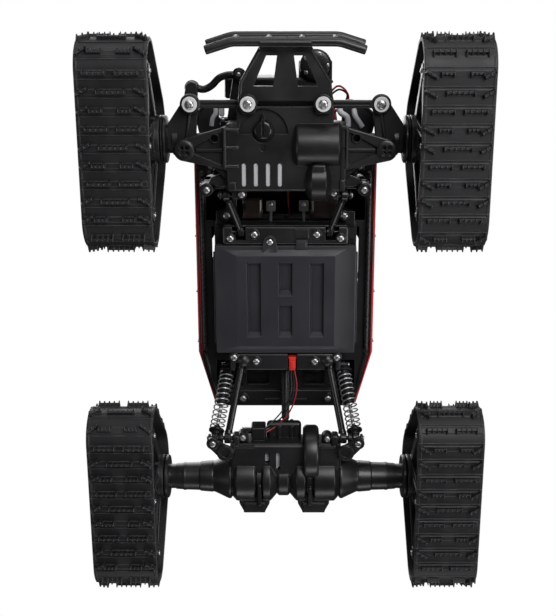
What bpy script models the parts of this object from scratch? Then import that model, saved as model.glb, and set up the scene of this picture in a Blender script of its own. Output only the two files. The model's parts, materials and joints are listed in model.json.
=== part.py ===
"""Radio-control rock crawler chassis on four triangular track units.

Frame: X to the side, -Y forwards, +Z up, origin on the ground midway between the axles.
Pieces named left lie at -X and pieces named right at +X, as seen from in front.
Dimensions are in millimetres; MM turns them into metres.
"""

import math

import bmesh
import bpy
from mathutils import Matrix, Vector

MM = 0.001
SIDES = (-1, 1)  # signs of X

# --- driving dimensions ------------------------------------------------------------------
WHEELBASE = 248.0
FRONT_Y = -WHEELBASE / 2
REAR_Y = WHEELBASE / 2
HUB_Z = 56.0  # height of both axles' centre lines
FRONT_TRACK_X = 107.0  # centre of a front track unit
REAR_TRACK_X = 113.0  # centre of a rear track unit

SPINDLE_R = 9.0
SPINDLE_GAP = 16.5  # from a track unit's middle to the outer end of the axle's spindle
HUB_DISC_R = 16.0
SHAFT_R = 3.0
SHAFT_BORE_R = SHAFT_R + 0.4
PIN_R = 1.5  # pins that carry links and shocks
PIN_HEAD_R = 3.0
EYE_BORE = 1.8
EYE_R = 4.0
MOTOR_R = 12.2
MOTOR_BORE_R = MOTOR_R + 0.4
MOTOR_BOSS_R = 4.5

# steering joints; the X values are distances from the middle plane
KINGPIN_X = 66.5
KINGPIN_Y = -118.5
TIE_X = 62.5
TIE_Y = -148.0
DRAG_X = 62.5
DRAG_Y = -157.5
HORN_X = -35.0
HORN_Y = -127.0

# link ends and shock ends on the +X side
FRONT_PIVOT = (31.0, -58.0, 68.0)  # front lower link on the chassis
FRONT_AXLE_PIVOT = (40.0, -87.0, 50.0)
REAR_PIVOT = (31.5, 38.0, 68.0)
REAR_AXLE_PIVOT = (42.0, 90.0, 48.0)
UPPER_PIVOT = (0.0, 38.0, 86.0)
UPPER_AXLE_PIVOT = (0.0, 90.0, 66.0)
FRONT_SHOCK_TOP = (50.5, -90.0, 108.0)
FRONT_SHOCK_LOW = (53.2, -92.0, 60.0)
REAR_SHOCK_TOP = (43.0, 49.0, 92.0)
REAR_SHOCK_LOW = (51.0, 90.0, 48.0)

# --- scene -------------------------------------------------------------------------------
for old in list(bpy.data.objects):
    bpy.data.objects.remove(old, do_unlink=True)

model = bpy.data.collections.new("track_crawler_chassis")
workshop = bpy.data.collections.new("cutters")  # holds shapes while they are worked on
for collection in (model, workshop):
    bpy.context.scene.collection.children.link(collection)


def material(name, color, roughness, metallic=0.0):
    mat = bpy.data.materials.new(name)
    mat.use_nodes = True
    shader = mat.node_tree.nodes["Principled BSDF"]
    shader.inputs["Base Color"].default_value = (*color, 1.0)
    shader.inputs["Roughness"].default_value = roughness
    shader.inputs["Metallic"].default_value = metallic
    mat.diffuse_color = (*color, 1.0)
    return mat


BLACK = material("black_plastic", color=(0.028, 0.028, 0.032), roughness=0.45)
RUBBER = material("rubber", color=(0.035, 0.034, 0.036), roughness=0.75)
STEEL = material("steel", color=(0.62, 0.62, 0.63), roughness=0.28, metallic=1.0)
RED = material("red_shell", color=(0.55, 0.03, 0.04), roughness=0.3)
PLUG_RED = material("red_plug", color=(0.75, 0.04, 0.03), roughness=0.4)
BLUE = material("cell_wrap", color=(0.04, 0.10, 0.32), roughness=0.4)
GREEN = material("circuit_board", color=(0.02, 0.16, 0.07), roughness=0.5)


# --- from BMesh to object and back -------------------------------------------------------
def to_object(shape):
    """Turn a BMesh into a loose object in the workshop."""
    mesh = bpy.data.meshes.new("shape")
    shape.to_mesh(mesh)
    shape.free()
    obj = bpy.data.objects.new("shape", mesh)
    workshop.objects.link(obj)
    return obj


def to_solid(shape):
    """The same, with all faces turned outwards first."""
    bmesh.ops.recalc_face_normals(shape, faces=shape.faces[:])
    return to_object(shape)


def discard(obj):
    """Remove an object together with its mesh or curve."""
    data = obj.data
    store = bpy.data.curves if obj.type == "CURVE" else bpy.data.meshes
    bpy.data.objects.remove(obj, do_unlink=True)
    store.remove(data)


def bake(obj):
    """Swap an object for a BMesh of its evaluated shape, in the object's own frame."""
    bpy.context.view_layer.update()
    graph = bpy.context.evaluated_depsgraph_get()
    mesh = bpy.data.meshes.new_from_object(obj.evaluated_get(graph))
    discard(obj)
    shape = bmesh.new()
    shape.from_mesh(mesh)
    bpy.data.meshes.remove(mesh)
    return shape


def bake_curve(name, curve, placement=None):
    """A curve as a welded solid in the place it is given."""
    obj = bpy.data.objects.new(name, curve)
    workshop.objects.link(obj)
    if placement is not None:
        obj.matrix_world = placement
    bpy.context.view_layer.update()
    matrix = obj.matrix_world.copy()
    shape = bake(obj)
    bmesh.ops.transform(shape, matrix=matrix, verts=shape.verts)
    bmesh.ops.remove_doubles(shape, verts=shape.verts[:], dist=2e-6)
    bmesh.ops.dissolve_degenerate(shape, dist=1e-6, edges=shape.edges[:])
    return to_solid(shape)


# --- basic shapes ------------------------------------------------------------------------
def block(x0, x1, y0, y1, z0, z1, bevel=0.0, low_inset=None):
    """A box; low_inset (x, y) draws in the edges of its lower face."""
    shape = bmesh.new()
    bmesh.ops.create_cube(shape, size=1.0)
    size = Vector((x1 - x0, y1 - y0, z1 - z0)) * MM
    bmesh.ops.scale(shape, vec=size, verts=shape.verts)
    if low_inset:
        low = [v for v in shape.verts if v.co.z < 0]
        inset_x, inset_y = low_inset
        shrink = ((x1 - x0 - 2 * inset_x) / (x1 - x0), (y1 - y0 - 2 * inset_y) / (y1 - y0), 1)
        bmesh.ops.scale(shape, vec=shrink, verts=low)
    middle = Vector((x0 + x1, y0 + y1, z0 + z1)) * (MM / 2)
    bmesh.ops.translate(shape, vec=middle, verts=shape.verts)
    if bevel:
        bmesh.ops.bevel(
            shape, geom=shape.edges[:], offset=bevel * MM, segments=1,
            affect="EDGES", profile=0.5,
        )
    return to_solid(shape)


def side_block(side, inner, outer, *rest):
    """A block between two distances from the middle plane, on one side of it."""
    return block(*sorted((side * inner, side * outer)), *rest)


def rod(start, end, radius, end_radius=None, facets=8):
    """A cylinder or cone between two points."""
    low, high = Vector(start) * MM, Vector(end) * MM
    shape = bmesh.new()
    bmesh.ops.create_cone(
        shape, cap_ends=True, segments=facets, radius1=radius * MM,
        radius2=(radius if end_radius is None else end_radius) * MM,
        depth=(high - low).length,
    )
    turn = (high - low).to_track_quat("Z", "Y").to_matrix().to_4x4()
    matrix = Matrix.Translation((low + high) / 2) @ turn
    bmesh.ops.transform(shape, matrix=matrix, verts=shape.verts)
    return to_solid(shape)


def rod_x(x0, x1, centre, radius, end_radius=None, facets=8):
    """A rod along X, centre being (y, z)."""
    return rod((x0, *centre), (x1, *centre), radius, end_radius, facets)


def rod_z(centre, z0, z1, radius, facets=8):
    """A rod along Z, centre being (x, y)."""
    return rod((*centre, z0), (*centre, z1), radius, facets=facets)


def add_path(curve, points, closed=False):
    """Add a straight-sided spline through points in metres."""
    spline = curve.splines.new("POLY")
    spline.points.add(len(points) - 1)
    for target, point in zip(spline.points, points):
        target.co = (*point, 1.0)
    spline.use_cyclic_u = closed


def wire(points, radius, resolution=1):
    """A round wire through points."""
    curve = bpy.data.curves.new("wire", "CURVE")
    curve.dimensions = "3D"
    curve.bevel_depth = radius * MM
    curve.bevel_resolution = resolution
    curve.use_fill_caps = True
    add_path(curve, [Vector(point) * MM for point in points])
    return bake_curve("wire", curve)


# outline (u, v) and thickness -> world; along X, u runs on Y and v on Z
TURN = {
    "Z": Matrix.Identity(4),
    "X": Matrix(((0, 0, 1, 0), (1, 0, 0, 0), (0, 1, 0, 0), (0, 0, 0, 1))),
}


def plate(loops, start, end, axis="Z"):
    """A flat outline, the first loop outside and the others holes, extruded along axis."""
    curve = bpy.data.curves.new("outline", "CURVE")
    curve.dimensions = "2D"
    curve.fill_mode = "BOTH"
    curve.extrude = (end - start) / 2 * MM
    for loop in loops:
        add_path(curve, [(u * MM, v * MM, 0.0) for u, v in loop], closed=True)
    middle = Matrix.Translation((0, 0, (start + end) / 2 * MM))
    return bake_curve("outline", curve, TURN[axis] @ middle)


def turned(profile, centre, steps):
    """A closed (along, radius) profile turned about an X axis through centre."""
    shape = bmesh.new()
    points = [shape.verts.new((radius * MM, 0.0, along * MM)) for along, radius in profile]
    for k, point in enumerate(points):
        shape.edges.new((point, points[(k + 1) % len(points)]))
    obj = to_object(shape)
    screw = obj.modifiers.new("turn", "SCREW")
    screw.steps = steps
    screw.render_steps = steps
    screw.use_merge_vertices = True
    screw.merge_threshold = 1e-5
    shape = bake(obj)
    matrix = Matrix.Translation(Vector(centre) * MM) @ Matrix.Rotation(math.pi / 2, 4, "Y")
    bmesh.ops.transform(shape, matrix=matrix, verts=shape.verts)
    bmesh.ops.remove_doubles(shape, verts=shape.verts[:], dist=1e-6)
    return to_solid(shape)


def combine(base, adds=(), cuts=()):
    """Exact Boolean unions, then differences, worked out into one mesh object."""
    tools = [(obj, "UNION") for obj in adds] + [(obj, "DIFFERENCE") for obj in cuts]
    for tool, operation in tools:
        boolean = base.modifiers.new(operation.lower(), "BOOLEAN")
        boolean.operation = operation
        boolean.solver = "EXACT"
        boolean.object = tool
    shape = bake(base)
    for tool, _ in tools:
        discard(tool)
    bmesh.ops.remove_doubles(shape, verts=shape.verts[:], dist=2e-6)
    bmesh.ops.dissolve_degenerate(shape, dist=2e-6, edges=shape.edges[:])
    bmesh.ops.dissolve_limit(
        shape, angle_limit=math.radians(0.2), verts=shape.verts[:], edges=shape.edges[:]
    )
    return to_object(shape)


# --- outlines ----------------------------------------------------------------------------
def rectangle(x0, x1, y0, y1):
    return [(x0, y0), (x1, y0), (x1, y1), (x0, y1)]


def circle(u, v, radius, steps):
    angles = [2 * math.pi * k / steps for k in range(steps)]
    return [(u + radius * math.cos(angle), v + radius * math.sin(angle)) for angle in angles]


def hull(circles, steps, grow=0.0):
    """Outline of a band pulled tight round circles (u, v, radius)."""
    points = []
    # even steps, and both sides of straight down, so the lowest run lies flat
    turns = sorted([(k + 0.5) / steps for k in range(steps)] + [0.75 - 1e-5, 0.75 + 1e-5])
    for turn in turns:
        angle = 2 * math.pi * turn
        cos, sin = math.cos(angle), math.sin(angle)
        u, v, radius = max(circles, key=lambda c: c[0] * cos + c[1] * sin + c[2])
        point = (u + (radius + grow) * cos, v + (radius + grow) * sin)
        if not points or math.dist(point, points[-1]) > 0.05:
            points.append(point)
    return points


def hull_plate(circles, z0, z1, steps):
    """A flat plate whose outline is pulled round circles (x, y, radius)."""
    return plate([hull(circles, steps)], z0, z1)


# --- finished pieces ---------------------------------------------------------------------
def finish(name, obj, mat, origin=(0, 0, 0), angle=30.0):
    """Name a finished piece, put its origin on its joint and file it in the model."""
    shift = Vector(origin) * MM
    obj.data.transform(Matrix.Translation(-shift))
    obj.location = shift
    obj.name = name
    obj.data.name = name
    obj.data.materials.append(mat)
    obj.data.shade_smooth()
    obj.data.set_sharp_from_angle(angle=math.radians(angle))
    workshop.objects.unlink(obj)
    model.objects.link(obj)
    return obj


def add_copy(name, source, origin, half_turn):
    """Place a piece's mesh once more, turned to face the other side if half_turn."""
    obj = bpy.data.objects.new(name, source.data)
    obj.location = Vector(origin) * MM
    if half_turn:
        obj.rotation_euler = (0.0, 0.0, math.pi)
    model.objects.link(obj)


def add_mirror(source):
    """The left-hand copy of a right-hand piece, across the vehicle's middle plane."""
    name = source.name.replace("right", "left")
    shape = bmesh.new()
    shape.from_mesh(source.data)
    bmesh.ops.scale(shape, vec=(-1, 1, 1), verts=shape.verts)
    bmesh.ops.reverse_faces(shape, faces=shape.faces[:])
    mesh = bpy.data.meshes.new(name)
    shape.to_mesh(mesh)
    shape.free()
    mesh.materials.append(source.data.materials[0])
    obj = bpy.data.objects.new(name, mesh)
    obj.location = (-source.location.x, source.location.y, source.location.z)
    model.objects.link(obj)


# --- track unit: one set of meshes, placed four times ------------------------------------
# Every mesh is made at x=0, y=0 and keeps its height; +X is its inner side.
BELT_W = 45.0
BELT_T = 2.5
LUG_H = 4.0
LUG_BASE = 4.6
LUG_TOP = 3.4
LUG_ROWS = 21
LUG_CLEAR = 0.7  # belt corners closer than this to a lug are left out
SPROCKET_R = 33.0
IDLER_R = 18.0
IDLER_Y = 46.0
IDLER_Z = IDLER_R + BELT_T + LUG_H
ROAD_R = 8.0
ROAD_Z = ROAD_R + BELT_T + LUG_H
WHEEL_HALF_W = 15.5  # idlers and road wheel
GAP = 0.3  # between the wheels and the belt
FRAME_IN = 17.5  # side plates, measured from the unit's middle
FRAME_OUT = 20.2
PIN_OVERLAP = 0.8
SPROCKET_HALF_W = 13.0

UNIT_ORIGIN = (0.0, 0.0, HUB_Z)
# y, z, radius of the three wheels that carry the belt
WHEELS = (
    (0.0, HUB_Z, SPROCKET_R),
    (-IDLER_Y, IDLER_Z, IDLER_R),
    (IDLER_Y, IDLER_Z, IDLER_R),
)
# radius, angle from the middle of one tooth
TOOTH = (
    (30.6, -0.13), (SPROCKET_R - GAP, -0.07), (SPROCKET_R - GAP, 0.07), (30.6, 0.13),
)
# radius, angle from the middle of one opening in the sprocket
SPROCKET_HOLE = ((11.5, 0.24), (11.5, -0.24), (27.0, -0.40), (27.0, 0.0), (27.0, 0.40))


def belt_outline():
    """Outer side of the belt with its cross bars, one closed loop in (y, z)."""
    base = hull(WHEELS, 36, BELT_T)
    lengths = [0.0]
    for k, corner in enumerate(base):
        lengths.append(lengths[-1] + math.dist(corner, base[(k + 1) % len(base)]))
    total = lengths[-1]

    def at(distance):
        """Point and outward normal at a distance along the belt."""
        distance %= total
        k = max(i for i in range(len(base)) if lengths[i] <= distance)
        near, far = base[k], base[(k + 1) % len(base)]
        part = (distance - lengths[k]) / (lengths[k + 1] - lengths[k])
        step_y, step_z = far[0] - near[0], far[1] - near[1]
        span = math.dist(near, far)
        point = (near[0] + part * step_y, near[1] + part * step_z)
        return point, (step_z / span, -(step_y / span))

    pitch = total / LUG_ROWS
    loop = []
    for row in range(LUG_ROWS):
        middle = (row + 0.5) * pitch
        (y, z), (out_y, out_z) = at(middle)
        loop.append(at(middle - LUG_BASE / 2)[0])
        for side in SIDES:
            top_y = y + out_y * LUG_H - side * out_z * LUG_TOP / 2
            top_z = z + out_z * LUG_H + side * out_y * LUG_TOP / 2
            loop.append((top_y, max(0.0, top_z)))
        loop.append(at(middle + LUG_BASE / 2)[0])
        start = middle + LUG_BASE / 2 + LUG_CLEAR
        end = middle + pitch - LUG_BASE / 2 - LUG_CLEAR
        for k in range(2 * len(base)):
            corner_at = lengths[k % len(base)] + (total if k >= len(base) else 0.0)
            if start < corner_at < end:
                loop.append(base[k % len(base)])
    return loop


def make_belt():
    shape = plate([belt_outline(), hull(WHEELS, 28)], -BELT_W / 2, BELT_W / 2, "X")
    return finish("belt_front_left", shape, RUBBER, UNIT_ORIGIN, angle=40)


def make_track_frame():
    """Side plates tied together by the wheel pins; the inner one carries a bearing ring."""
    outline = hull(
        (
            (0, HUB_Z, 14), (-IDLER_Y, IDLER_Z, 7), (IDLER_Y, IDLER_Z, 7), (0, ROAD_Z, 5),
        ),
        20,
    )
    windows = [
        hull(((side * 15.5, 45, 2.5), (side * 34.5, 30.5, 2.5), (side * 12, 25.5, 2.5)), 6)
        for side in SIDES
    ]
    bore = circle(0, HUB_Z, SPINDLE_R + 0.6, 14)
    inner_plate = plate([outline, bore, *windows], FRAME_IN, FRAME_OUT, "X")
    outer_plate = plate([outline, bore, *windows], -FRAME_OUT, -FRAME_IN, "X")
    ring_loops = [circle(0, HUB_Z, 16, 14), bore]
    ring = plate(ring_loops, FRAME_OUT - 0.5, FRAME_OUT + 3.6, "X")
    reach = FRAME_IN + PIN_OVERLAP
    pins = [
        rod_x(-reach, reach, centre, radius)
        for centre, radius in (
            ((-IDLER_Y, IDLER_Z), 2.5), ((IDLER_Y, IDLER_Z), 2.5), ((0, ROAD_Z), 2.0),
        )
    ]
    shape = combine(inner_plate, [ring, *pins, outer_plate])
    return finish("track_frame_front_left", shape, BLACK, UNIT_ORIGIN)


def around_hub(middle, stations):
    """(y, z) points from (radius, angle) stations turned round the hub by middle."""
    return [
        (radius * math.cos(middle + angle), HUB_Z + radius * math.sin(middle + angle))
        for radius, angle in stations
    ]


def make_sprocket():
    teeth = []
    for k in range(12):
        teeth += around_hub(2 * math.pi * k / 12, TOOTH)
    holes = [around_hub(2 * math.pi * (k + 0.5) / 6, SPROCKET_HOLE) for k in range(6)]
    end = SPROCKET_HALF_W - 0.5  # shaft and spindle start inside the wheel
    hub = (0, HUB_Z)
    shape = combine(
        plate([teeth, *holes], -SPROCKET_HALF_W, SPROCKET_HALF_W, "X"),
        [
            rod_x(end, FRAME_IN + 12.5, hub, SHAFT_R),
            rod_x(-end, -FRAME_OUT - 0.8, hub, SPINDLE_R, facets=10),
        ],
    )
    return finish("sprocket_front_left", shape, BLACK, UNIT_ORIGIN)


def make_idler():
    """A wheel with dished faces."""
    profile = [
        (-13.5, 2.9), (-WHEEL_HALF_W, 14.5), (-WHEEL_HALF_W, IDLER_R - GAP),
        (WHEEL_HALF_W, IDLER_R - GAP), (WHEEL_HALF_W, 14.5), (13.5, 2.9),
    ]
    origin = (0, -IDLER_Y, IDLER_Z)
    return finish("idler_front_left_front", turned(profile, origin, 16), BLACK, origin)


def make_road_wheel():
    profile = [
        (-WHEEL_HALF_W, 2.3), (-WHEEL_HALF_W, ROAD_R - GAP),
        (WHEEL_HALF_W, ROAD_R - GAP), (WHEEL_HALF_W, 2.3),
    ]
    origin = (0, 0, ROAD_Z)
    return finish("road_wheel_front_left", turned(profile, origin, 12), BLACK, origin)


idler = make_idler()
# name pattern, source piece, y from the unit's middle, z
UNIT_PIECES = (
    ("belt_{}", make_belt(), 0.0, HUB_Z),
    ("track_frame_{}", make_track_frame(), 0.0, HUB_Z),
    ("sprocket_{}", make_sprocket(), 0.0, HUB_Z),
    ("road_wheel_{}", make_road_wheel(), 0.0, ROAD_Z),
    ("idler_{}_front", idler, -IDLER_Y, IDLER_Z),
    ("idler_{}_rear", idler, IDLER_Y, IDLER_Z),
)
# corner, x, y, half turn
CORNERS = (
    ("front_left", -FRONT_TRACK_X, FRONT_Y, False),
    ("front_right", FRONT_TRACK_X, FRONT_Y, True),
    ("rear_left", -REAR_TRACK_X, REAR_Y, False),
    ("rear_right", REAR_TRACK_X, REAR_Y, True),
)
for corner, corner_x, corner_y, half_turn in CORNERS:
    for pattern, source, y, z in UNIT_PIECES:
        name = pattern.format(corner)
        place = (corner_x, corner_y + y, z)
        if name == source.name:
            source.location = Vector(place) * MM
        else:
            add_copy(name, source, place, half_turn)

# --- front axle --------------------------------------------------------------------------
FRONT_HUB = (FRONT_Y, HUB_Z)  # y, z
FRONT_MOTOR = (-122.0, 44.0)  # y, z of the motor's axis
AXLE_SOLE_Z = 38.0  # underside of the housing
HOUSING_HALF_W = 39.5
BUMPER_SCREW_X = 24.3
BUMPER_SCREW_Y = -148.8
KNOB_X = -14.7
KNOB_Y = -131.9


def front_arm(side):
    """One side of the housing: tapered arm with flat sole, fork, link pin and shock pin."""
    kingpin_x = side * KINGPIN_X
    taper = [(side * x, y) for x, y in ((37, -134), (37, -96), (55, -112), (55, -124))]
    fork = ((kingpin_x, KINGPIN_Y, 7), (side * 54, -112.5, 3.5), (side * 54, -124, 3.5))
    sole = ((kingpin_x, KINGPIN_Y, 7), (side * 38.4, -132.6, 1.6), (side * 38.4, -107.6, 1.6))
    link_pin = FRONT_AXLE_PIVOT[1:]
    shock_pin = FRONT_SHOCK_LOW[1:]
    return [
        plate([taper], 41, 65.5),
        side_block(side, 50.5, 55.5, -126.5, -109.5, 61.2, 73.8),
        hull_plate(sole, AXLE_SOLE_Z, 42.7, 28),
        hull_plate(fork, 69.3, 74, 28),
        # lower link pin with its root and head
        side_block(side, 31, 36.3, -93, -85, 45, 55, 1.0),
        rod_x(side * 36, side * 44.6, link_pin, PIN_R),
        rod_x(side * 43.2, side * 44.8, link_pin, PIN_HEAD_R),
        # shock bracket with its pin and head
        side_block(side, 36, 49.2, -104, -90, 56, 62.5, 1.0),
        rod_x(side * 48, side * 57.2, shock_pin, PIN_R),
        rod_x(side * 56.0, side * 57.6, shock_pin, PIN_HEAD_R),
    ]


def screw_lug(side):
    """Rounded lug that takes one of the bumper's screws."""
    x = side * BUMPER_SCREW_X
    return hull_plate(((x, BUMPER_SCREW_Y, 6), (x, -132, 6)), AXLE_SOLE_Z, 41.2, 16)


housing = combine(
    block(-HOUSING_HALF_W, HOUSING_HALF_W, -136, -91, AXLE_SOLE_Z, 66, 2.5),
    [
        plate([rectangle(-32, 31.5, -147, -132)], AXLE_SOLE_Z, 41.2),
        *[screw_lug(side) for side in SIDES],
        rod_x(6, 36.5, FRONT_MOTOR, 15, facets=12),
        rod_x(16.6, 27.3, (-98, 44), 13.5, facets=10),
        *front_arm(-1),
        *front_arm(1),
    ],
    [
        rod_x(8, 45, FRONT_MOTOR, MOTOR_BORE_R, facets=10),
        *[rod_z((side * KINGPIN_X, KINGPIN_Y), 30, 80, 2.8) for side in SIDES],
        # four slots in the sole
        *[block(x - 1.5, x + 1.5, -110, -95.7, 36, 44) for x in (-26.5, -19.2, -11.6, -4.2)],
        # shallow fan-shaped recess round the trim knob
        hull_plate(((KNOB_X, KNOB_Y, 7.6), (KNOB_X, -143.5, 1.0)), 37, 38.8, 20),
    ],
)
finish("front_axle_housing", housing, BLACK, (0, FRONT_Y, HUB_Z))


def add_motor(name, can, boss, centre, origin_x):
    """A motor can and its end boss, each given as (x0, x1), on an X axis."""
    shape = combine(
        rod_x(*can, centre, MOTOR_R, facets=10), [rod_x(*boss, centre, MOTOR_BOSS_R)]
    )
    finish(name, shape, STEEL, (origin_x, *centre))


add_motor("front_motor", (9, 38.5), (38, 40.2), FRONT_MOTOR, origin_x=9)

# steering servo above the housing, its output stub pointing down into the horn
servo = combine(
    block(-45, -5, -137, -117, 72, 90, 1.0),
    [
        rod_z((HORN_X, HORN_Y), 67.5, 72.5, 2.6),
        block(-8, 2, -134, -120, 66.3, 76, 0.8),
    ],
)
finish("steering_servo", servo, BLACK, (HORN_X, HORN_Y, 80))

# the same offset as the steering arm, so the drag link stays parallel
horn_tip = (HORN_X + KINGPIN_X - DRAG_X, HORN_Y + DRAG_Y - KINGPIN_Y)
horn = combine(
    hull_plate(((HORN_X, HORN_Y, 6), (*horn_tip, 4.2)), 66.7, 70.4, 24),
    [rod_z(horn_tip, 60.0, 67.5, 1.7), rod_z(horn_tip, 59.0, 60.6, 3.2)],
    [rod_z((HORN_X, HORN_Y), 60, 75, 2.9)],
)
finish("servo_horn", horn, BLACK, (HORN_X, HORN_Y, 68))

# drag link from the left knuckle's upper arm to the horn
DRAG_Z = 63.0
# x, y along the bent link
DRAG_PATH = ((-60.2, -157.2), (-54.5, -156.2), (-48.5, -158.5), (-42, -164.0), (-34, -165.6))
drag_ends = ((-DRAG_X, DRAG_Y), horn_tip)
drag_eyes = [hull_plate(((*end, 4.2),), DRAG_Z - 2, DRAG_Z + 2, 16) for end in drag_ends]
drag = combine(
    drag_eyes[0],
    [drag_eyes[1], wire([(x, y, DRAG_Z) for x, y in DRAG_PATH], 1.9)],
    [rod_z(end, 55, 70, 2.05) for end in drag_ends],
)
finish("drag_link", drag, BLACK, (-DRAG_X, DRAG_Y, DRAG_Z))

tie = combine(
    plate([[(-60, -150.6), (-60, -145.4), (60, -145.4), (60, -150.6)]], 42.4, 45.6),
    [hull_plate(((side * TIE_X, TIE_Y, 6),), 42, 46, 20) for side in SIDES],
    # the right-hand eye has play, because the two steering arms aren't parallel
    [rod_z((side * TIE_X, TIE_Y), 38, 50, bore) for side, bore in ((-1, 2.4), (1, 3.0))],
)
finish("tie_rod", tie, BLACK, (-TIE_X, TIE_Y, 44))


def add_knuckle(name, side, has_drag_arm):
    """Kingpin barrel, spindle with hub disc, and the steering arms."""
    kingpin = (side * KINGPIN_X, KINGPIN_Y)
    tie_end = (side * TIE_X, TIE_Y)
    spindle_end = side * (FRONT_TRACK_X - SPINDLE_GAP)
    adds = [
        rod_z(kingpin, 38.4, 73.6, 2.5),
        rod_x(side * 66, side * 81, FRONT_HUB, SPINDLE_R, facets=10),
        rod_x(side * 79.6, side * 82.7, FRONT_HUB, HUB_DISC_R, facets=12),
        rod_x(side * 82, spindle_end, FRONT_HUB, SPINDLE_R, facets=10),
        # tie rod arm with its pin and head
        hull_plate(((*kingpin, 6), (*tie_end, 5)), 46.4, 50.4, 20),
        rod_z(tie_end, 40.2, 47, 2.0),
        rod_z(tie_end, 39.6, 41.6, 4.8),
    ]
    if has_drag_arm:
        drag_end = (side * DRAG_X, DRAG_Y)
        adds += [
            hull_plate(((*kingpin, 6), (*drag_end, 4.2)), 56.4, 60.4, 20),
            rod_z(drag_end, 60, 66.0, 1.7),
        ]
    barrel = rod_z(kingpin, 43.1, 68.9, 6.5)
    shaft_bore = rod_x(side * 76, side * 95, FRONT_HUB, SHAFT_BORE_R)
    finish(name, combine(barrel, adds, [shaft_bore]), BLACK, (*kingpin, HUB_Z))


add_knuckle("knuckle_left", -1, has_drag_arm=True)
add_knuckle("knuckle_right", 1, has_drag_arm=False)

knob = combine(
    rod_z((KNOB_X, KNOB_Y), 34.8, 37.9, 6, facets=10),
    [
        block(KNOB_X - 1.3, KNOB_X + 1.3, -142.6, KNOB_Y, 35.6, 37.9),
        rod_z((KNOB_X, KNOB_Y), 37, 38.5, 2.5),
    ],
)
finish("trim_knob", knob, BLACK, (KNOB_X, KNOB_Y, 36))

# bumper: two bent tubes, four posts and the openwork bracket screwed to the axle's lugs
BUMPER_TUBES = ((-187.5, 30.0), (-191.0, 42.0))  # y, z of the straight run
# x, y round the bracket, then round its two openings
BRACKET_LOOPS = [
    [
        (-15.4, -187), (15.4, -187), (29.5, -163), (30.8, -149), (28.5, -142.4), (20, -142.4),
        (17.8, -150.5), (-17.8, -150.5), (-20, -142.4), (-28.5, -142.4), (-30.8, -149),
        (-29.5, -163),
    ],
    [(-12.3, -179), (-5.4, -179), (-8.0, -160), (-20.6, -160)],
    [(5.4, -179), (12.3, -179), (20.6, -160), (8.0, -160)],
]
bumper_parts = [
    wire([(-51, y + 5, z), (-34.6, y, z), (34.6, y, z), (51, y + 5, z)], 3.0, 2)
    for y, z in BUMPER_TUBES
]
for x in (-31.5, -10.5, 10.5, 31.5):
    bumper_parts.append(rod((x, *BUMPER_TUBES[0]), (x, *BUMPER_TUBES[1]), 1.6))
for side in SIDES:
    screw = (side * BUMPER_SCREW_X, BUMPER_SCREW_Y)
    bumper_parts.append(rod_z(screw, 31.8, 34, 5.0, facets=10))
bumper = combine(plate(BRACKET_LOOPS, 33.6, 37.7), bumper_parts)
finish("front_bumper", bumper, BLACK, (0, BUMPER_SCREW_Y, 36))

# --- rear axle ---------------------------------------------------------------------------
REAR_HUB = (REAR_Y, HUB_Z)  # y, z
REAR_MOTOR = (106.0, 76.0)  # y, z of the motor's axis
# x0, x1, radius at x0, radius at x1, facets: ribs and cones of the barrel round the axle
REAR_BARREL = (
    (-36.4, -22, 18, 18, 12),
    (-40, -36, 14.5, 17.2, 12),
    (-22.4, -16.4, 15.5, 15.5, 10),
    (-16.8, -9.4, 18, 18, 12),
    (-9.8, -5.8, 17.2, 14.5, 12),
    (-6, 3, 14, 14, 10),
    (2.8, 6.6, 14.5, 17.2, 12),
    (6.2, 14.8, 18, 18, 12),
    (14.4, 21, 15.5, 15.5, 10),
    (20.6, 36.4, 18, 18, 12),
    (36, 40, 17.2, 14.5, 12),
)


def rear_arm(side):
    """One axle tube with its spindle, hub disc and the pin for link and shock."""
    spindle_end = side * (REAR_TRACK_X - SPINDLE_GAP)
    pin = REAR_AXLE_PIVOT[1:]  # the shock's lower end shares it
    return [
        rod_x(side * 39, side * 52, REAR_HUB, 16.5, 11, facets=10),
        rod_x(side * 51, side * 76, REAR_HUB, 10.8, facets=10),
        rod_x(side * 75, side * 86, REAR_HUB, SPINDLE_R, facets=10),
        rod_x(side * 85.5, side * 88.8, REAR_HUB, HUB_DISC_R, facets=12),
        rod_x(side * 88, spindle_end, REAR_HUB, SPINDLE_R, facets=10),
        # pin, spacer between link and shock, head, and root
        rod_x(side * 34, side * 56, pin, PIN_R),
        rod_x(side * 45.2, side * 48.0, pin, 3.6),
        rod_x(side * 54.2, side * 56, pin, PIN_HEAD_R),
        side_block(side, 33, 38.3, 86.8, 97, 44, 54, 1.0),
    ]


rear_housing = combine(
    block(-40, 40, 94, 120, 44, 66, 2.0),
    [
        *[
            rod_x(x0, x1, REAR_HUB, radius, end_radius, facets)
            for x0, x1, radius, end_radius, facets in REAR_BARREL
        ],
        rod_x(12.8, 23.8, (101, 52), 19.5, facets=12),
        # fork and pin of the upper link
        block(-6.2, -3.1, 84, 96, 55, 70, 0.8),
        block(3.1, 6.2, 84, 96, 55, 70, 0.8),
        rod_x(-4, 4, UPPER_AXLE_PIVOT[1:], PIN_R),
        # one lug in front and two behind
        block(-23, -13, 84, 95, 52, 64, 1.0),
        block(-32.5, -13.5, 136, 147.5, 44, 58, 2.0),
        block(11.0, 31.0, 136, 147.5, 44, 58, 2.0),
        *rear_arm(-1),
        *rear_arm(1),
    ],
    [
        *[rod_x(side * 80, side * 100, REAR_HUB, SHAFT_BORE_R) for side in SIDES],
        rod_x(-35.5, 6, REAR_MOTOR, MOTOR_BORE_R, facets=10),
        # two slots in the underside
        block(-15.2, -12.0, 99.5, 107.5, 42, 48),
        block(-7.8, -4.6, 99.5, 112.5, 42, 48),
    ],
)
finish("rear_axle_housing", rear_housing, BLACK, (0, REAR_Y, HUB_Z))
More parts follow.
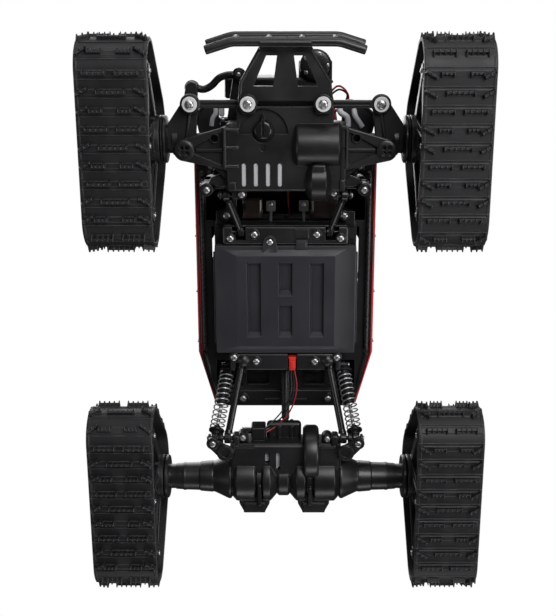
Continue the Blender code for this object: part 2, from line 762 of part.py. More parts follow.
add_motor("rear_motor", (-34.5, 5), (-37, -34), REAR_MOTOR, origin_x=5)

# --- links and shocks --------------------------------------------------------------------
LINK_EYE_HALF_W = 2.3
SHOCK_EYE_HALF_W = 2.4
SHOCK_BODY_R = 3.6
SHOCK_SHAFT_R = 1.3
SEAT_R = 6.2
SEAT_NEAR = 5.0  # spring seats lie between these distances from the eyes
SEAT_FAR = 7.0
SPRING_R = 5.0
SPRING_WIRE = 0.55
SPRING_GAP = 0.35  # between the end coils and the seats
COIL_STEPS = 7  # points in one turn


def crosswise(centre, reach, radius):
    """A rod along X reaching equally to both sides of a point."""
    offset = Vector((reach, 0, 0))
    return rod(centre - offset, centre + offset, radius)


def make_link(name, start, end, radius):
    """A round link between two cross-drilled eyes on X pins."""
    ends = (Vector(start), Vector(end))
    run = (ends[1] - ends[0]).normalized()
    eyes = [crosswise(point, LINK_EYE_HALF_W, EYE_R) for point in ends]
    shape = combine(
        eyes[0],
        [eyes[1], rod(ends[0] + run * 2.9, ends[1] - run * 2.9, radius)],
        [crosswise(point, 2 * LINK_EYE_HALF_W, EYE_BORE) for point in ends],
    )
    return finish(name, shape, BLACK, start)


add_mirror(make_link("front_lower_link_right", FRONT_PIVOT, FRONT_AXLE_PIVOT, 2.1))
add_mirror(make_link("rear_lower_link_right", REAR_PIVOT, REAR_AXLE_PIVOT, 2.3))
make_link("rear_upper_link", UPPER_PIVOT, UPPER_AXLE_PIVOT, 2.4)


def make_shock(place, top_point, low_point, body_length, coil_turns):
    """Body with upper spring seat, shaft with lower seat, and the coil between the seats."""
    top, low = Vector(top_point), Vector(low_point)
    run = (low - top).normalized()
    body = combine(
        crosswise(top, SHOCK_EYE_HALF_W, EYE_R),
        [
            rod(top + run * 2.6, top + run * body_length, SHOCK_BODY_R),
            rod(top + run * SEAT_NEAR, top + run * SEAT_FAR, SEAT_R, facets=10),
        ],
        [
            crosswise(top, 2 * SHOCK_EYE_HALF_W, EYE_BORE),
            rod(top + run * 10.0, top + run * (body_length + 3), SHOCK_SHAFT_R + 0.3),
        ],
    )
    shaft = combine(
        crosswise(low, SHOCK_EYE_HALF_W, EYE_R),
        [
            rod(top + run * 18.0, low - run * 2.8, SHOCK_SHAFT_R),
            rod(low - run * SEAT_FAR, low - run * SEAT_NEAR, SEAT_R, facets=10),
        ],
        [crosswise(low, 2 * SHOCK_EYE_HALF_W, EYE_BORE + 0.35)],
    )
    across = run.cross(Vector((1, 0, 0))).normalized()
    along_x = run.cross(across).normalized()
    first = SEAT_FAR + SPRING_WIRE + SPRING_GAP
    last = (low - top).length - SEAT_FAR - SPRING_WIRE - SPRING_GAP
    coil = []
    for k in range(coil_turns * COIL_STEPS + 1):
        angle = 2 * math.pi * k / COIL_STEPS
        distance = first + (last - first) * k / (coil_turns * COIL_STEPS)
        coil.append(
            top + run * distance
            + across * SPRING_R * math.cos(angle) + along_x * SPRING_R * math.sin(angle)
        )
    return (
        finish(f"{place}_shock_body_right", body, BLACK, top_point),
        finish(f"{place}_shock_shaft_right", shaft, STEEL, low_point),
        finish(f"{place}_shock_spring_right", wire(coil, SPRING_WIRE, 0), STEEL, top_point),
    )


for shock in (
    make_shock("front", FRONT_SHOCK_TOP, FRONT_SHOCK_LOW, body_length=27.0, coil_turns=5),
    make_shock("rear", REAR_SHOCK_TOP, REAR_SHOCK_LOW, body_length=33.0, coil_turns=6),
):
    for piece in shock:
        add_mirror(piece)


# --- chassis tub -------------------------------------------------------------------------
def link_slot(side, pivot, outer, y0, y1):
    """Slot for a lower link's eye, outer being its reach beyond the pivot."""
    return side_block(side, pivot[0] - 3.2, pivot[0] + outer, y0, y1, 60, 74.5)


tub = combine(
    block(-50, 50, -50, 31, 64.5, 87.7, 1.5),
    [
        block(-44, 44, -63, -49.8, 62.5, 80, 0.8),  # front link mount
        block(-40, 40, 30.5, 43.5, 62.5, 80, 1.0),  # rear link mount
        block(-9, 9, 30.5, 43.5, 76, 93.0, 1.0),  # upper link mount
    ],
    [
        block(-45, 45, -46.5, 27.5, 60, 85.2),  # battery room
        *[link_slot(side, FRONT_PIVOT, 6.5, -70, -53) for side in SIDES],
        *[link_slot(side, REAR_PIVOT, 5.0, 33, 50) for side in SIDES],
        block(-3.2, 3.2, 33, 50, 79, 95),
        block(1.5, 8.5, 26, 50, 60, 69.5),  # cable way
    ],
)
# the link pins go in after the slots are cut
tub = combine(
    tub,
    [
        rod_x(side * (pivot[0] - 4.6), side * (pivot[0] + 8.0), pivot[1:], PIN_R)
        for side in SIDES
        for pivot in (FRONT_PIVOT, REAR_PIVOT)
    ]
    + [rod_x(-4.6, 4.6, UPPER_PIVOT[1:], PIN_R)],
)
finish("chassis_tub", tub, BLACK)

# --- battery cover, closing the tub from below -------------------------------------------
COVER_X = 49.6
COVER_Y0 = -49.4
COVER_Y1 = 29.8
COVER_Z0 = 60.0
COVER_Z1 = 64.2
# x0, x1, y0, y1 of the shallow recesses in the underside
COVER_RECESSES = (
    (-27.4, -17.0, -37.5, 18),
    (-5.1, 5.1, -37.5, -12.5),
    (-5.1, 5.1, -6.5, 18),
    (17.0, 27.4, -37.5, 18),
)
cover_sides = (-COVER_X, COVER_X, COVER_Y0, COVER_Y1)
cover = combine(
    block(*cover_sides, COVER_Z0, COVER_Z0 + 2.4, low_inset=(8.0, 4.0)),
    [
        block(*cover_sides, COVER_Z0 + 2.3, COVER_Z1),
        # screw lug and latch at the front edge
        hull_plate(((-11, -52.2, 4.4), (-11, -47, 5.5)), 61.0, 62.2, 16),
        block(7.2, 15.2, -53.5, -47, 60.9, 62.2, 0.3),
    ],
    [
        *[block(*recess, 59, 61.4) for recess in COVER_RECESSES],
        block(-43.5, 43.5, -45.0, 25.5, 62.7, 66),  # hollow in the top
    ],
)
finish("battery_cover", cover, BLACK, (0, COVER_Y1 - 0.2, COVER_Z1 - 0.4))

# --- battery, receiver and lead ----------------------------------------------------------
CELL_R = 9.0
cells = [rod((x, -43, 75.2), (x, 23, 75.2), CELL_R, facets=12) for x in (-8.2, 8.2)]
finish("battery_pack", combine(cells[0], [cells[1]]), BLUE)

board = combine(
    block(-22, 22, -42, -8, 94.4, 96.0),
    [
        block(-16, -4, -38, -26, 95.8, 97.8),
        block(2, 17, -36, -21, 95.8, 99.0),
        block(-17, -2, -19, -11, 95.8, 101.5, 0.4),
        block(5, 19, -17, -11, 95.8, 100.5, 0.4),
    ],
)
finish("receiver_board", board, GREEN)


def lead_wire(plug_x, bend_x):
    """One wire from the plug back to the rear axle."""
    points = [
        (plug_x, 44.5, 65.4), (plug_x + 1.2, 50, 64.6), (bend_x, 60, 62),
        (bend_x - 3.0, 68, 60.5), (bend_x - 9.0, 75, 60), (bend_x - 15, 78.6, 59.5),
    ]
    return wire(points, 0.9)


lead = combine(
    block(2.6, 7.4, 34.5, 45.5, 62.8, 68.0, 0.6),
    [lead_wire(4.0, 4.6), lead_wire(6.1, 7.4)],
)
finish("power_lead", lead, PLUG_RED)

# --- body floor --------------------------------------------------------------------------
FLOOR_OUTLINE = [(-62, -104), (62, -104), (62, 39), (51, 81), (-51, 81), (-62, 39)]
# x0, x1, y0, y1
FLOOR_HOLES = (
    (-57.2, 57.2, -98.5, -62.5),
    (51.3, 56.3, -58, 30),
    (-56.3, -51.3, -58, 30),
    (-50, -33, 44.5, 61),
    (-26, 26, 44.5, 56.5),
    (33, 50, 44.5, 61),
)
floor = combine(
    plate([FLOOR_OUTLINE, *[rectangle(*hole) for hole in FLOOR_HOLES]], 88.0, 94.0),
    [
        # shock posts and pins, front then rear
        *[side_block(side, 57.4, 60.1, -96, -84, 93, 114, 0.5) for side in SIDES],
        *[rod_x(side * 58, side * 45.0, FRONT_SHOCK_TOP[1:], PIN_R) for side in SIDES],
        *[side_block(side, 33.5, 37.5, 43.5, 54.5, 86.5, 97, 0.8) for side in SIDES],
        *[rod_x(side * 36, side * 47.5, REAR_SHOCK_TOP[1:], PIN_R) for side in SIDES],
    ],
    [block(-9.5, 9.5, 30, 46, 84, 93.6)],  # room for the upper link mount
)
finish("body_floor", floor, BLACK)

# --- body: one moulded shell, lofted through cross sections and hollowed from below ------
SHELL_WALL = 2.2
# y, then half width and z at the bottom, at the shoulder and at the top
SECTIONS = (
    (-158, 31, 112, 33, 120, 28, 126),
    (-120, 38.5, 106, 40.5, 124, 34, 132),
    (-104, 65.0, 94.6, 66.4, 126, 40, 135),
    (-62, 65.2, 94.6, 66.6, 130, 44, 140),
    (-34, 65.2, 94.6, 66.6, 132, 45, 184),
    (22, 65.2, 94.6, 66.6, 132, 45, 184),
    (38, 65.2, 94.6, 66.3, 130, 44, 141),
    (80, 53.4, 94.6, 55.2, 122, 40, 126),
)
SIDE_WINDOW = [(-40, 140), (-28, 172), (16, 174), (26, 140)]  # y, z


def loft(sections):
    """Closed skin through six-cornered sections, lowest corners first."""
    shape = bmesh.new()
    rings = []
    for y, low_w, low_z, mid_w, mid_z, top_w, top_z in sections:
        ring = [
            (-low_w, low_z), (-mid_w, mid_z), (-top_w, top_z),
            (top_w, top_z), (mid_w, mid_z), (low_w, low_z),
        ]
        rings.append([shape.verts.new((x * MM, y * MM, z * MM)) for x, z in ring])
    for near, far in zip(rings, rings[1:]):
        for k in range(6):
            shape.faces.new((near[k], near[(k + 1) % 6], far[(k + 1) % 6], far[k]))
    shape.faces.new(rings[0])
    shape.faces.new(rings[-1][::-1])
    bmesh.ops.triangulate(shape, faces=shape.faces[:])
    return to_solid(shape)


def inner_sections():
    """The sections drawn in by the wall, and lowered at the bottom to leave it open."""
    inner = []
    for k, (y, low_w, low_z, mid_w, mid_z, top_w, top_z) in enumerate(SECTIONS):
        if k == 0:
            y += SHELL_WALL
        elif k == len(SECTIONS) - 1:
            y -= SHELL_WALL
        inner.append((
            y, low_w - SHELL_WALL, low_z - 4, mid_w - SHELL_WALL, mid_z - SHELL_WALL * 0.4,
            top_w - SHELL_WALL, top_z - SHELL_WALL * 1.4,
        ))
    return inner


shell = combine(
    loft(SECTIONS),
    cuts=[
        loft(inner_sections()),
        plate([SIDE_WINDOW], -80, 80, "X"),
        block(-33, 33, -70, 60, 146, 172, 3.0),  # front and rear windows
    ],
)
finish("body_shell", shell, RED)
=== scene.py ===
"""A radio-control crawler on four track units, dressed over its CAD frame.

X runs across the model, its front points to -Y, +Z is up and the ground is z = 0. The camera
looks up at the underside. A `side` is -1 on the left (-X) and 1 on the right.
"""

import json
import math
from bisect import bisect_right

import bmesh
import bpy
from mathutils import Matrix, Vector


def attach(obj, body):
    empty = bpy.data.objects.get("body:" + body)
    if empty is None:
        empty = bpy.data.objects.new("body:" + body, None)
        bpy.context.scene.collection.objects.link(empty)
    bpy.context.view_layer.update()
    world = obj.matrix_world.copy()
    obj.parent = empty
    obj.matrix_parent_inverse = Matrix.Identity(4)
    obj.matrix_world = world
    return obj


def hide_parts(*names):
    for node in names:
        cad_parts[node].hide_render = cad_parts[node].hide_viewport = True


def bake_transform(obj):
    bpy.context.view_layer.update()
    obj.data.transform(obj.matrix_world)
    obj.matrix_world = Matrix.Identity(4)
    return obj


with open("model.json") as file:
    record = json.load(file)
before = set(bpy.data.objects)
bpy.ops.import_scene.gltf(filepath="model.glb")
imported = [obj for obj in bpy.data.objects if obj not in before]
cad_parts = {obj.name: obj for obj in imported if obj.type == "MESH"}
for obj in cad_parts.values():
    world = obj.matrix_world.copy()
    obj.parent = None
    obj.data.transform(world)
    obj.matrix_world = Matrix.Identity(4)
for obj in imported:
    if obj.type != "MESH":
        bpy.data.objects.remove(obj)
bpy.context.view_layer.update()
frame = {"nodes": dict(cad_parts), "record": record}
MM = 0.001
X_AXIS, Y_AXIS, Z_AXIS = (1, 0, 0), (0, 1, 0), (0, 0, 1)
DOWN = (0, 0, -1)
SIDES = ((-1, "left"), (1, "right"))

# ------------------------------------------------------------------ driving sizes
HUB_Z = 56.0
AXLE_Y = 124.0
FRONT_X, REAR_X = 107.0, 113.0  # middle of the front and rear track units
GUIDE_Y, GUIDE_Z = 46.0, 24.5  # guide wheels, from the middle of a track unit
ROLLER_Z = 14.5
WHEELS = ((0.0, HUB_Z, 33.0), (-GUIDE_Y, GUIDE_Z, 18.0), (GUIDE_Y, GUIDE_Z, 18.0))  # y, z, radius
BELT_W, BELT_T, LUG_H = 45.0, 2.5, 4.0
ROWS = 30

# steering joints, as (x, y)
KX, KY = 66.5, -118.5  # kingpin
TIE_X, TIE_Y = 62.5, -148.0
DRAG_X, DRAG_Y = 62.5, -157.5
HORN = (-35.0, -127.0)
HORN_TIP = (HORN[0] + KX - DRAG_X, HORN[1] + DRAG_Y - KY)  # the horn swings parallel to its arm
DIAL = (-14.7, -131.9)

# pins across the model, as (y, z)
FRONT_LOW, FRONT_SHOCK, FRONT_SHOCK_TOP = (-87.0, 50.0), (-92.0, 60.0), (-90.0, 108.0)
REAR_LOW, REAR_UP, REAR_SHOCK_TOP = (90.0, 48.0), (90.0, 66.0), (49.0, 92.0)
# chassis end and axle end of each link and shock absorber, right side
PINS = {
    "front_low": ((31.0, -58.0, 68.0), (40.0, *FRONT_LOW)),
    "rear_low": ((31.5, 38.0, 68.0), (42.0, *REAR_LOW)),
    "rear_up": ((0.0, 38.0, 86.0), (0.0, *REAR_UP)),
    "front_shock": ((50.5, *FRONT_SHOCK_TOP), (53.2, *FRONT_SHOCK)),
    "rear_shock": ((43.0, *REAR_SHOCK_TOP), (51.0, *REAR_LOW)),
}

# screw places, as (x, y)
FRONT_BOSSES = ((-29.5, -88.6), (32.3, -89.6))
REAR_BOSSES = ((-31.0, 89.6), (30.2, 90.6))
BRACKET_X, BRACKET_Y = 24.3, -148.8
PLATE_SCREWS = [
    (side * x, y) for side in (-1, 1)
    for x, y in ((38.6, -54.6), (21.8, -57.4), (37.2, 33.2), (21.2, 36.2))
]


def new_collection(name):
    made = bpy.data.collections.new(name)
    bpy.context.scene.collection.children.link(made)
    return made


shop = new_collection("shop")  # unfinished shapes
looks = new_collection("looks")  # finished pieces


# ------------------------------------------------------------------ shader nodes
class Nodes:
    """Adds nodes to a tree; an input is given as a value or as the socket that feeds it."""

    def __init__(self, tree):
        self.tree = tree

    def fill(self, target, inputs):
        for key, value in inputs.items():
            if isinstance(value, bpy.types.NodeSocket):
                self.tree.links.new(value, target.inputs[key])
            else:
                target.inputs[key].default_value = value

    def add(self, kind, inputs=None, **settings):
        made = self.tree.nodes.new("ShaderNode" + kind)
        for key, value in settings.items():
            setattr(made, key, value)
        self.fill(made, inputs or {})
        return made

    def math(self, operation, value, constant):
        return self.add("Math", {0: value, 1: constant}, operation=operation).outputs["Value"]

    def remap(self, value, to_min, to_max, from_min=0.3, from_max=0.7):
        return self.add("MapRange", {
            "From Min": from_min, "From Max": from_max,
            "To Min": to_min, "To Max": to_max, "Value": value,
        }).outputs["Result"]

    def mix(self, factor, first, second):
        """Mixes two colours; sockets 6 and 7 and output 2 are the node's colour ones."""
        inputs = {"Factor": factor}
        for key, color in ((6, first), (7, second)):
            inputs[key] = (*color, 1.0) if isinstance(color, tuple) else color
        return self.add("Mix", inputs, data_type="RGBA").outputs[2]


class Surface(Nodes):
    """A material with a Principled shader and object coordinates."""

    def __init__(self, name):
        self.material = bpy.data.materials.new(name)
        self.material.use_nodes = True
        super().__init__(self.material.node_tree)
        self.bsdf = self.tree.nodes["Principled BSDF"]
        self.coord = self.add("TexCoord").outputs["Object"]

    def noise(self, scale, detail=3.0, rough=0.55, stretch=None):
        source = self.coord
        if stretch:
            mapping = self.add("Mapping", {"Scale": stretch, "Vector": source})
            source = mapping.outputs["Vector"]
        return self.add("TexNoise", {
            "Scale": scale, "Detail": detail, "Roughness": rough, "Vector": source,
        }).outputs["Fac"]

    def edge_mask(self, radius):
        """About 0 on flat areas and 1 on an edge tighter than radius; also the bevelled normal."""
        normal = self.add("Bevel", {"Radius": radius}, samples=4).outputs["Normal"]
        flat = self.add("NewGeometry").outputs["Normal"]
        dot = self.add("VectorMath", {0: normal, 1: flat}, operation="DOT_PRODUCT")
        mask = self.remap(
            dot.outputs["Value"], to_min=1.0, to_max=0.0, from_min=0.86, from_max=0.995)
        return mask, normal

    def painted_crease_shade(self, color, distance, power):
        """Painted shade: the same colour, darkened by ambient occlusion where the surface lies in a
        crease or beside a wall.
        """
        shade = self.add("AmbientOcclusion", {"Distance": distance}, samples=6, only_local=True)
        factor = self.math("POWER", shade.outputs["AO"], power)
        # painted shade: where the occlusion is strong the colour goes to near black
        return self.mix(factor, (0.0006, 0.0006, 0.0007), color)

    def bump(self, height, strength, distance, normal=None):
        inputs = {"Strength": strength, "Distance": distance, "Height": height}
        if normal is not None:
            inputs["Normal"] = normal
        return self.add("Bump", inputs).outputs["Normal"]

    def done(self, **inputs):
        """Fills the shader; an underscore in an input's name stands for a space."""
        self.fill(self.bsdf, {key.replace("_", " "): value for key, value in inputs.items()})
        return self.material


def brighter(color, factor):
    return tuple(c * factor for c in color)


# ------------------------------------------------------------------ kinds of material
def plastic(name, color, worn, rough, grain=0.10, scale=1500.0, edge=0.5, coat=0.0, crease_shade_power=0.0):
    """Moulded plastic: fine grain, cloudy sheen, slightly rubbed edges and, if asked, painted shade in
    its creases.

    grain and scale set the bump, edge the rubbing; the last argument sets how strongly shade is
    painted into creases.
    """
    surface = Surface(name)
    cloud = surface.noise(scale=45.0, detail=4.0)
    dust = surface.noise(scale=420.0, detail=5.0, rough=0.7)
    mask, normal = surface.edge_mask(radius=0.0005)
    body = surface.mix(surface.remap(cloud, to_min=0.0, to_max=0.35), color, worn)
    speck = surface.remap(dust, to_min=0.0, to_max=0.35, from_min=0.66, from_max=0.78)
    body = surface.mix(speck, body, tuple(min(1.0, c * 3.0 + 0.02) for c in worn))
    body = surface.mix(surface.math("MULTIPLY", mask, edge), body, brighter(worn, 2.2))
    # painted shade: creases and the feet of walls darkened in the colour
    if crease_shade_power:
        body = surface.painted_crease_shade(body, distance=0.003, power=crease_shade_power)
    fine = surface.noise(scale=scale, detail=2.0)
    inputs = {"Coat_Weight": coat, "Coat_Roughness": 0.08} if coat else {}
    return surface.done(
        Base_Color=body,
        Roughness=surface.remap(cloud, *rough),
        Normal=surface.bump(fine, strength=grain, distance=0.0003, normal=normal),
        Specular_IOR_Level=0.5,
        **inputs,
    )


def rubber(name, color, pale):
    """Moulded tread rubber: matt and faintly bloomed, with painted highlights on its sharp tips and
    painted shade in its creases.
    """
    surface = Surface(name)
    cloud = surface.noise(scale=28.0, detail=5.0)
    fine = surface.noise(scale=2600.0, detail=3.0, rough=0.7)
    mask, normal = surface.edge_mask(radius=0.0004)
    body = surface.mix(surface.remap(cloud, to_min=0.0, to_max=1.0), color, pale)
    # painted highlight: the sharp tips and edges are turned much paler
    body = surface.mix(surface.math("MULTIPLY", mask, 0.85), body, brighter(pale, 13.0))
    # painted shade: creases and the feet of the lugs darkened by ambient occlusion
    return surface.done(
        Base_Color=surface.painted_crease_shade(body, distance=0.006, power=3.8),
        Roughness=surface.remap(cloud, to_min=0.46, to_max=0.62),
        Normal=surface.bump(fine, strength=0.22, distance=0.0002, normal=normal),
        Specular_IOR_Level=0.42,
        Sheen_Weight=0.02,
    )


def metal(name, color, rough=(0.18, 0.32), stretch=None, grain=0.08):
    """Plated or drawn metal with a fine finish and faint staining."""
    surface = Surface(name)
    stain = surface.noise(scale=160.0, detail=4.0)
    lines = surface.noise(scale=260.0, detail=2.0, rough=0.5, stretch=stretch)
    stained = surface.remap(stain, to_min=0.0, to_max=1.0)
    return surface.done(
        Base_Color=surface.mix(stained, color, brighter(color, 0.78)),
        Metallic=1.0,
        Roughness=surface.remap(lines, *rough),
        Normal=surface.bump(lines, strength=grain, distance=0.0001),
    )


def glassy(name, color, rough, alpha):
    surface = Surface(name)
    haze = surface.noise(scale=60.0, detail=3.0)
    hazed = surface.remap(haze, to_min=0.0, to_max=1.0)
    return surface.done(
        Base_Color=surface.mix(hazed, color, brighter(color, 1.5)),
        Roughness=surface.remap(haze, rough, rough + 0.1),
        Alpha=alpha,
    )


# ------------------------------------------------------------------ materials
# BLACK and COVER get painted shade in their creases through their last argument
BLACK = plastic(
    "satin_black_plastic", color=(0.0072, 0.0069, 0.0078), worn=(0.013, 0.0125, 0.0145),
    rough=(0.30, 0.44), crease_shade_power=1.6)
COVER = plastic(
    "cover_plastic", color=(0.0155, 0.0148, 0.0195), worn=(0.021, 0.020, 0.0262),
    rough=(0.42, 0.54), grain=0.16, scale=1900.0, edge=0.9, crease_shade_power=2.2)
GLOSSY = plastic(
    "link_plastic", color=(0.007, 0.007, 0.0078), worn=(0.012, 0.0118, 0.0132),
    rough=(0.20, 0.32), grain=0.05)
WHEEL = plastic(
    "wheel_plastic", color=(0.006, 0.006, 0.0068), worn=(0.011, 0.011, 0.012),
    rough=(0.34, 0.5), grain=0.08)
GREY = plastic(
    "grey_nylon", color=(0.12, 0.117, 0.112), worn=(0.19, 0.185, 0.178),
    rough=(0.3, 0.42), grain=0.06, edge=0.3)
PALE = plastic(
    "pale_grey_nylon", color=(0.46, 0.455, 0.48), worn=(0.58, 0.575, 0.60),
    rough=(0.35, 0.5), grain=0.06, edge=0.2)
RUBBER = rubber("tread_rubber", color=(0.0058, 0.0057, 0.0064), pale=(0.0120, 0.0116, 0.0134))
STEEL = metal("plated_steel", color=(0.62, 0.61, 0.62), rough=(0.30, 0.40), grain=0.015)
ZINC = plastic(
    "brushed_zinc_washer", color=(0.60, 0.60, 0.605), worn=(0.70, 0.70, 0.705),
    rough=(0.3, 0.42), grain=0.03, edge=0.2)
SPRING = metal("spring_steel", color=(0.90, 0.90, 0.91), rough=(0.34, 0.46))
CAN = metal(
    "motor_can", color=(0.48, 0.48, 0.50), rough=(0.25, 0.42), stretch=(0.05, 1, 1), grain=0.15)
BRASS = metal("brass_contacts", color=(0.80, 0.58, 0.24))
RED = plastic(
    "red_body_shell", color=(0.36, 0.010, 0.012), worn=(0.44, 0.016, 0.018),
    rough=(0.2, 0.3), grain=0.02, scale=700.0, edge=0.25, coat=0.6)
LIP = plastic(
    "red_sill_edge", color=(0.62, 0.045, 0.055), worn=(0.70, 0.08, 0.09),
    rough=(0.3, 0.42), grain=0.02, scale=700.0, edge=0.25)
PLUG = plastic(
    "red_plug_plastic", color=(0.62, 0.022, 0.012), worn=(0.72, 0.04, 0.025),
    rough=(0.3, 0.42), grain=0.03, edge=0.2)
RED_WIRE = plastic(
    "red_wire_sleeve", color=(0.26, 0.008, 0.012), worn=(0.34, 0.016, 0.02),
    rough=(0.3, 0.4), grain=0.02, edge=0.0)
BLACK_WIRE = plastic(
    "black_wire_sleeve", color=(0.012, 0.012, 0.012), worn=(0.02, 0.02, 0.02),
    rough=(0.25, 0.35), grain=0.02, edge=0.0)
SMOKE = glassy("smoked_screen", color=(0.035, 0.024, 0.02), rough=0.12, alpha=0.86)
WINDOW = glassy("window_screen", color=(0.012, 0.012, 0.014), rough=0.06, alpha=0.94)
LAMP = glassy("lamp_lens", color=(0.55, 0.54, 0.5), rough=0.05, alpha=0.8)
CELLS = plastic(
    "cell_wrap", color=(0.015, 0.05, 0.16), worn=(0.02, 0.07, 0.2),
    rough=(0.2, 0.32), grain=0.02, edge=0.1)
BOARD = plastic(
    "green_circuit_board", color=(0.008, 0.06, 0.025), worn=(0.012, 0.09, 0.035),
    rough=(0.35, 0.45), grain=0.1, edge=0.1)
DARK = plastic(
    "chip_black", color=(0.008, 0.008, 0.009), worn=(0.014, 0.014, 0.015),
    rough=(0.3, 0.45), grain=0.03)

# the materials of each frame slot; the first one dresses the CAD pieces themselves
SLOTS = {
    "black_plastic": (BLACK, COVER, GLOSSY, WHEEL, GREY, PALE, BLACK_WIRE, SMOKE, WINDOW),
    "rubber": (RUBBER,),
    "steel": (STEEL, ZINC, SPRING, CAN),
    "red_shell": (RED, LIP, LAMP),
    "red_plug": (PLUG, RED_WIRE),
    "cell_wrap": (CELLS,),
    "circuit_board": (BOARD, BRASS, DARK),
}


# ------------------------------------------------------------------ outlines
def flip(side, points):
    """Puts right-hand points, with x first, on the given side."""
    return [(side * x, *rest) for x, *rest in points]


def circle(u, v, radius, count):
    angles = [2 * math.pi * k / count for k in range(count)]
    return [(u + radius * math.cos(a), v + radius * math.sin(a)) for a in angles]


def touch(circles, angle):
    """Where a band round (u, v, radius) circles faces an angle, and its outward normal."""
    cos, sin = math.cos(angle), math.sin(angle)
    u, v, radius = max(circles, key=lambda c: c[0] * cos + c[1] * sin + c[2])
    return (u + radius * cos, v + radius * sin), (cos, sin)


def hull(circles, samples=72):
    """The outline of a band stretched round circles."""
    outline = []
    for k in range(samples):
        point, _ = touch(circles, 2 * math.pi * (k + 0.5) / samples)
        if not outline or math.dist(point, outline[-1]) > 0.05:
            outline.append(point)
    return outline


def corner(before, point, after, size, steps=5):
    """Points that round one corner of an outline."""
    before, point, after = Vector(before), Vector(point), Vector(after)
    start = point + (before - point).normalized() * min(size, 0.45 * (before - point).length)
    end = point + (after - point).normalized() * min(size, 0.45 * (after - point).length)
    return [
        tuple((1 - t) ** 2 * start + 2 * t * (1 - t) * point + t * t * end)
        for t in (k / steps for k in range(steps + 1))
    ]


def round_poly(points, size):
    outline = []
    for k, point in enumerate(points):
        outline += corner(points[k - 1], point, points[(k + 1) % len(points)], size, 6)
    return outline


# ------------------------------------------------------------------ solid shapes
def shape(mesh, recalc=True):
    """Turns a bmesh into an object in the shop."""
    if recalc:
        bmesh.ops.recalc_face_normals(mesh, faces=mesh.faces[:])
    data = bpy.data.meshes.new("shape")
    mesh.to_mesh(data)
    mesh.free()
    obj = bpy.data.objects.new("shape", data)
    shop.objects.link(obj)
    return obj


def block(x0, x1, y0, y1, z0, z1, bevel=0.0, steps=2, top=None):
    """A box; top=(inset x, inset y0 side, inset y1 side, 'low' or 'high') draws one face in."""
    mesh = bmesh.new()
    bmesh.ops.create_cube(mesh, size=1.0)
    for v in mesh.verts:
        v.co = Vector((
            x0 if v.co.x < 0 else x1, y0 if v.co.y < 0 else y1, z0 if v.co.z < 0 else z1,
        ))
    if top:
        inset_x, inset_y0, inset_y1, which = top
        for v in mesh.verts:
            if (which == "low") == (v.co.z < (z0 + z1) / 2):
                v.co.x += inset_x if v.co.x < (x0 + x1) / 2 else -inset_x
                v.co.y += inset_y0 if v.co.y < (y0 + y1) / 2 else -inset_y1
    bevel = min(bevel, 0.45 * min(x1 - x0, y1 - y0, z1 - z0))
    if bevel > 0:
        bmesh.ops.bevel(
            mesh, geom=mesh.edges[:], offset=bevel, segments=steps, affect="EDGES", profile=0.5)
    return shape(mesh)


def blocks(*rows):
    return [block(*row) for row in rows]


def side_block(side, x0, x1, *rest):
    """A block given for the right side."""
    return block(x0, x1, *rest) if side > 0 else block(-x1, -x0, *rest)


def side_blocks(side, *rows):
    return [side_block(side, *row) for row in rows]


def prism(outline, low, high, bevel=0.0, steps=2, axis="Z"):
    """A flat outline pushed from low to high along an axis, with its rims rounded."""
    place_point = {
        "X": lambda u, v, w: (w, u, v), "Y": lambda u, v, w: (u, w, v), "Z": lambda u, v, w: (u, v, w),
    }[axis]
    mesh = bmesh.new()
    first = [mesh.verts.new(place_point(u, v, low)) for u, v in outline]
    last = [mesh.verts.new(place_point(u, v, high)) for u, v in outline]
    count = len(outline)
    mesh.faces.new(first)
    mesh.faces.new(last[::-1])
    for k in range(count):
        j = (k + 1) % count
        mesh.faces.new((first[k], first[j], last[j], last[k]))
    bmesh.ops.recalc_face_normals(mesh, faces=mesh.faces[:])
    if bevel > 0:
        edges = [
            e for e in mesh.edges
            if len(e.link_faces) == 2 and e.calc_face_angle(0) > math.radians(25.0)
        ]
        bmesh.ops.bevel(
            mesh, geom=edges, offset=min(bevel, 0.4 * abs(high - low)), segments=steps,
            affect="EDGES", profile=0.5, clamp_overlap=True)
    return shape(mesh)


def turned(profile, origin, direction=X_AXIS, sides=40):
    """(along, radius) points turned about a line; radius 0 closes an end, else it is a ring."""
    origin = Vector(origin)
    turn = Vector(direction).normalized().to_track_quat("Z", "Y").to_matrix()
    mesh = bmesh.new()
    rings = []
    for along, radius in profile:
        if radius <= 1e-6:
            rings.append([mesh.verts.new(origin + turn @ Vector((0, 0, along)))])
        else:
            rings.append([
                mesh.verts.new(origin + turn @ Vector((x, y, along)))
                for x, y in circle(0, 0, radius, sides)
            ])
    pairs = list(zip(rings, rings[1:]))
    if len(rings[0]) > 1 and len(rings[-1]) > 1:
        pairs.append((rings[-1], rings[0]))
    for low, high in pairs:
        for k in range(sides):
            j = (k + 1) % sides
            if len(low) == 1:
                mesh.faces.new((low[0], high[k], high[j]))
            elif len(high) == 1:
                mesh.faces.new((low[k], low[j], high[0]))
            else:
                mesh.faces.new((low[k], low[j], high[j], high[k]))
    return shape(mesh)


def rod(start, end, radius, sides=40, rim=0.4):
    start, end = Vector(start), Vector(end)
    length = (end - start).length
    rim = min(rim, 0.4 * length, 0.5 * radius)
    if rim <= 0:
        profile = [(0, 0), (0, radius), (length, radius), (length, 0)]
    else:
        k = rim * 0.3
        profile = [
            (0, 0), (0, radius - rim), (k, radius - k), (rim, radius), (length - rim, radius),
            (length - k, radius - k), (length, radius - rim), (length, 0),
        ]
    return turned(profile, start, end - start, sides)


def rod_x(x0, x1, y, z, radius, sides=40, rim=0.4):
    return rod((x0, y, z), (x1, y, z), radius, sides, rim)


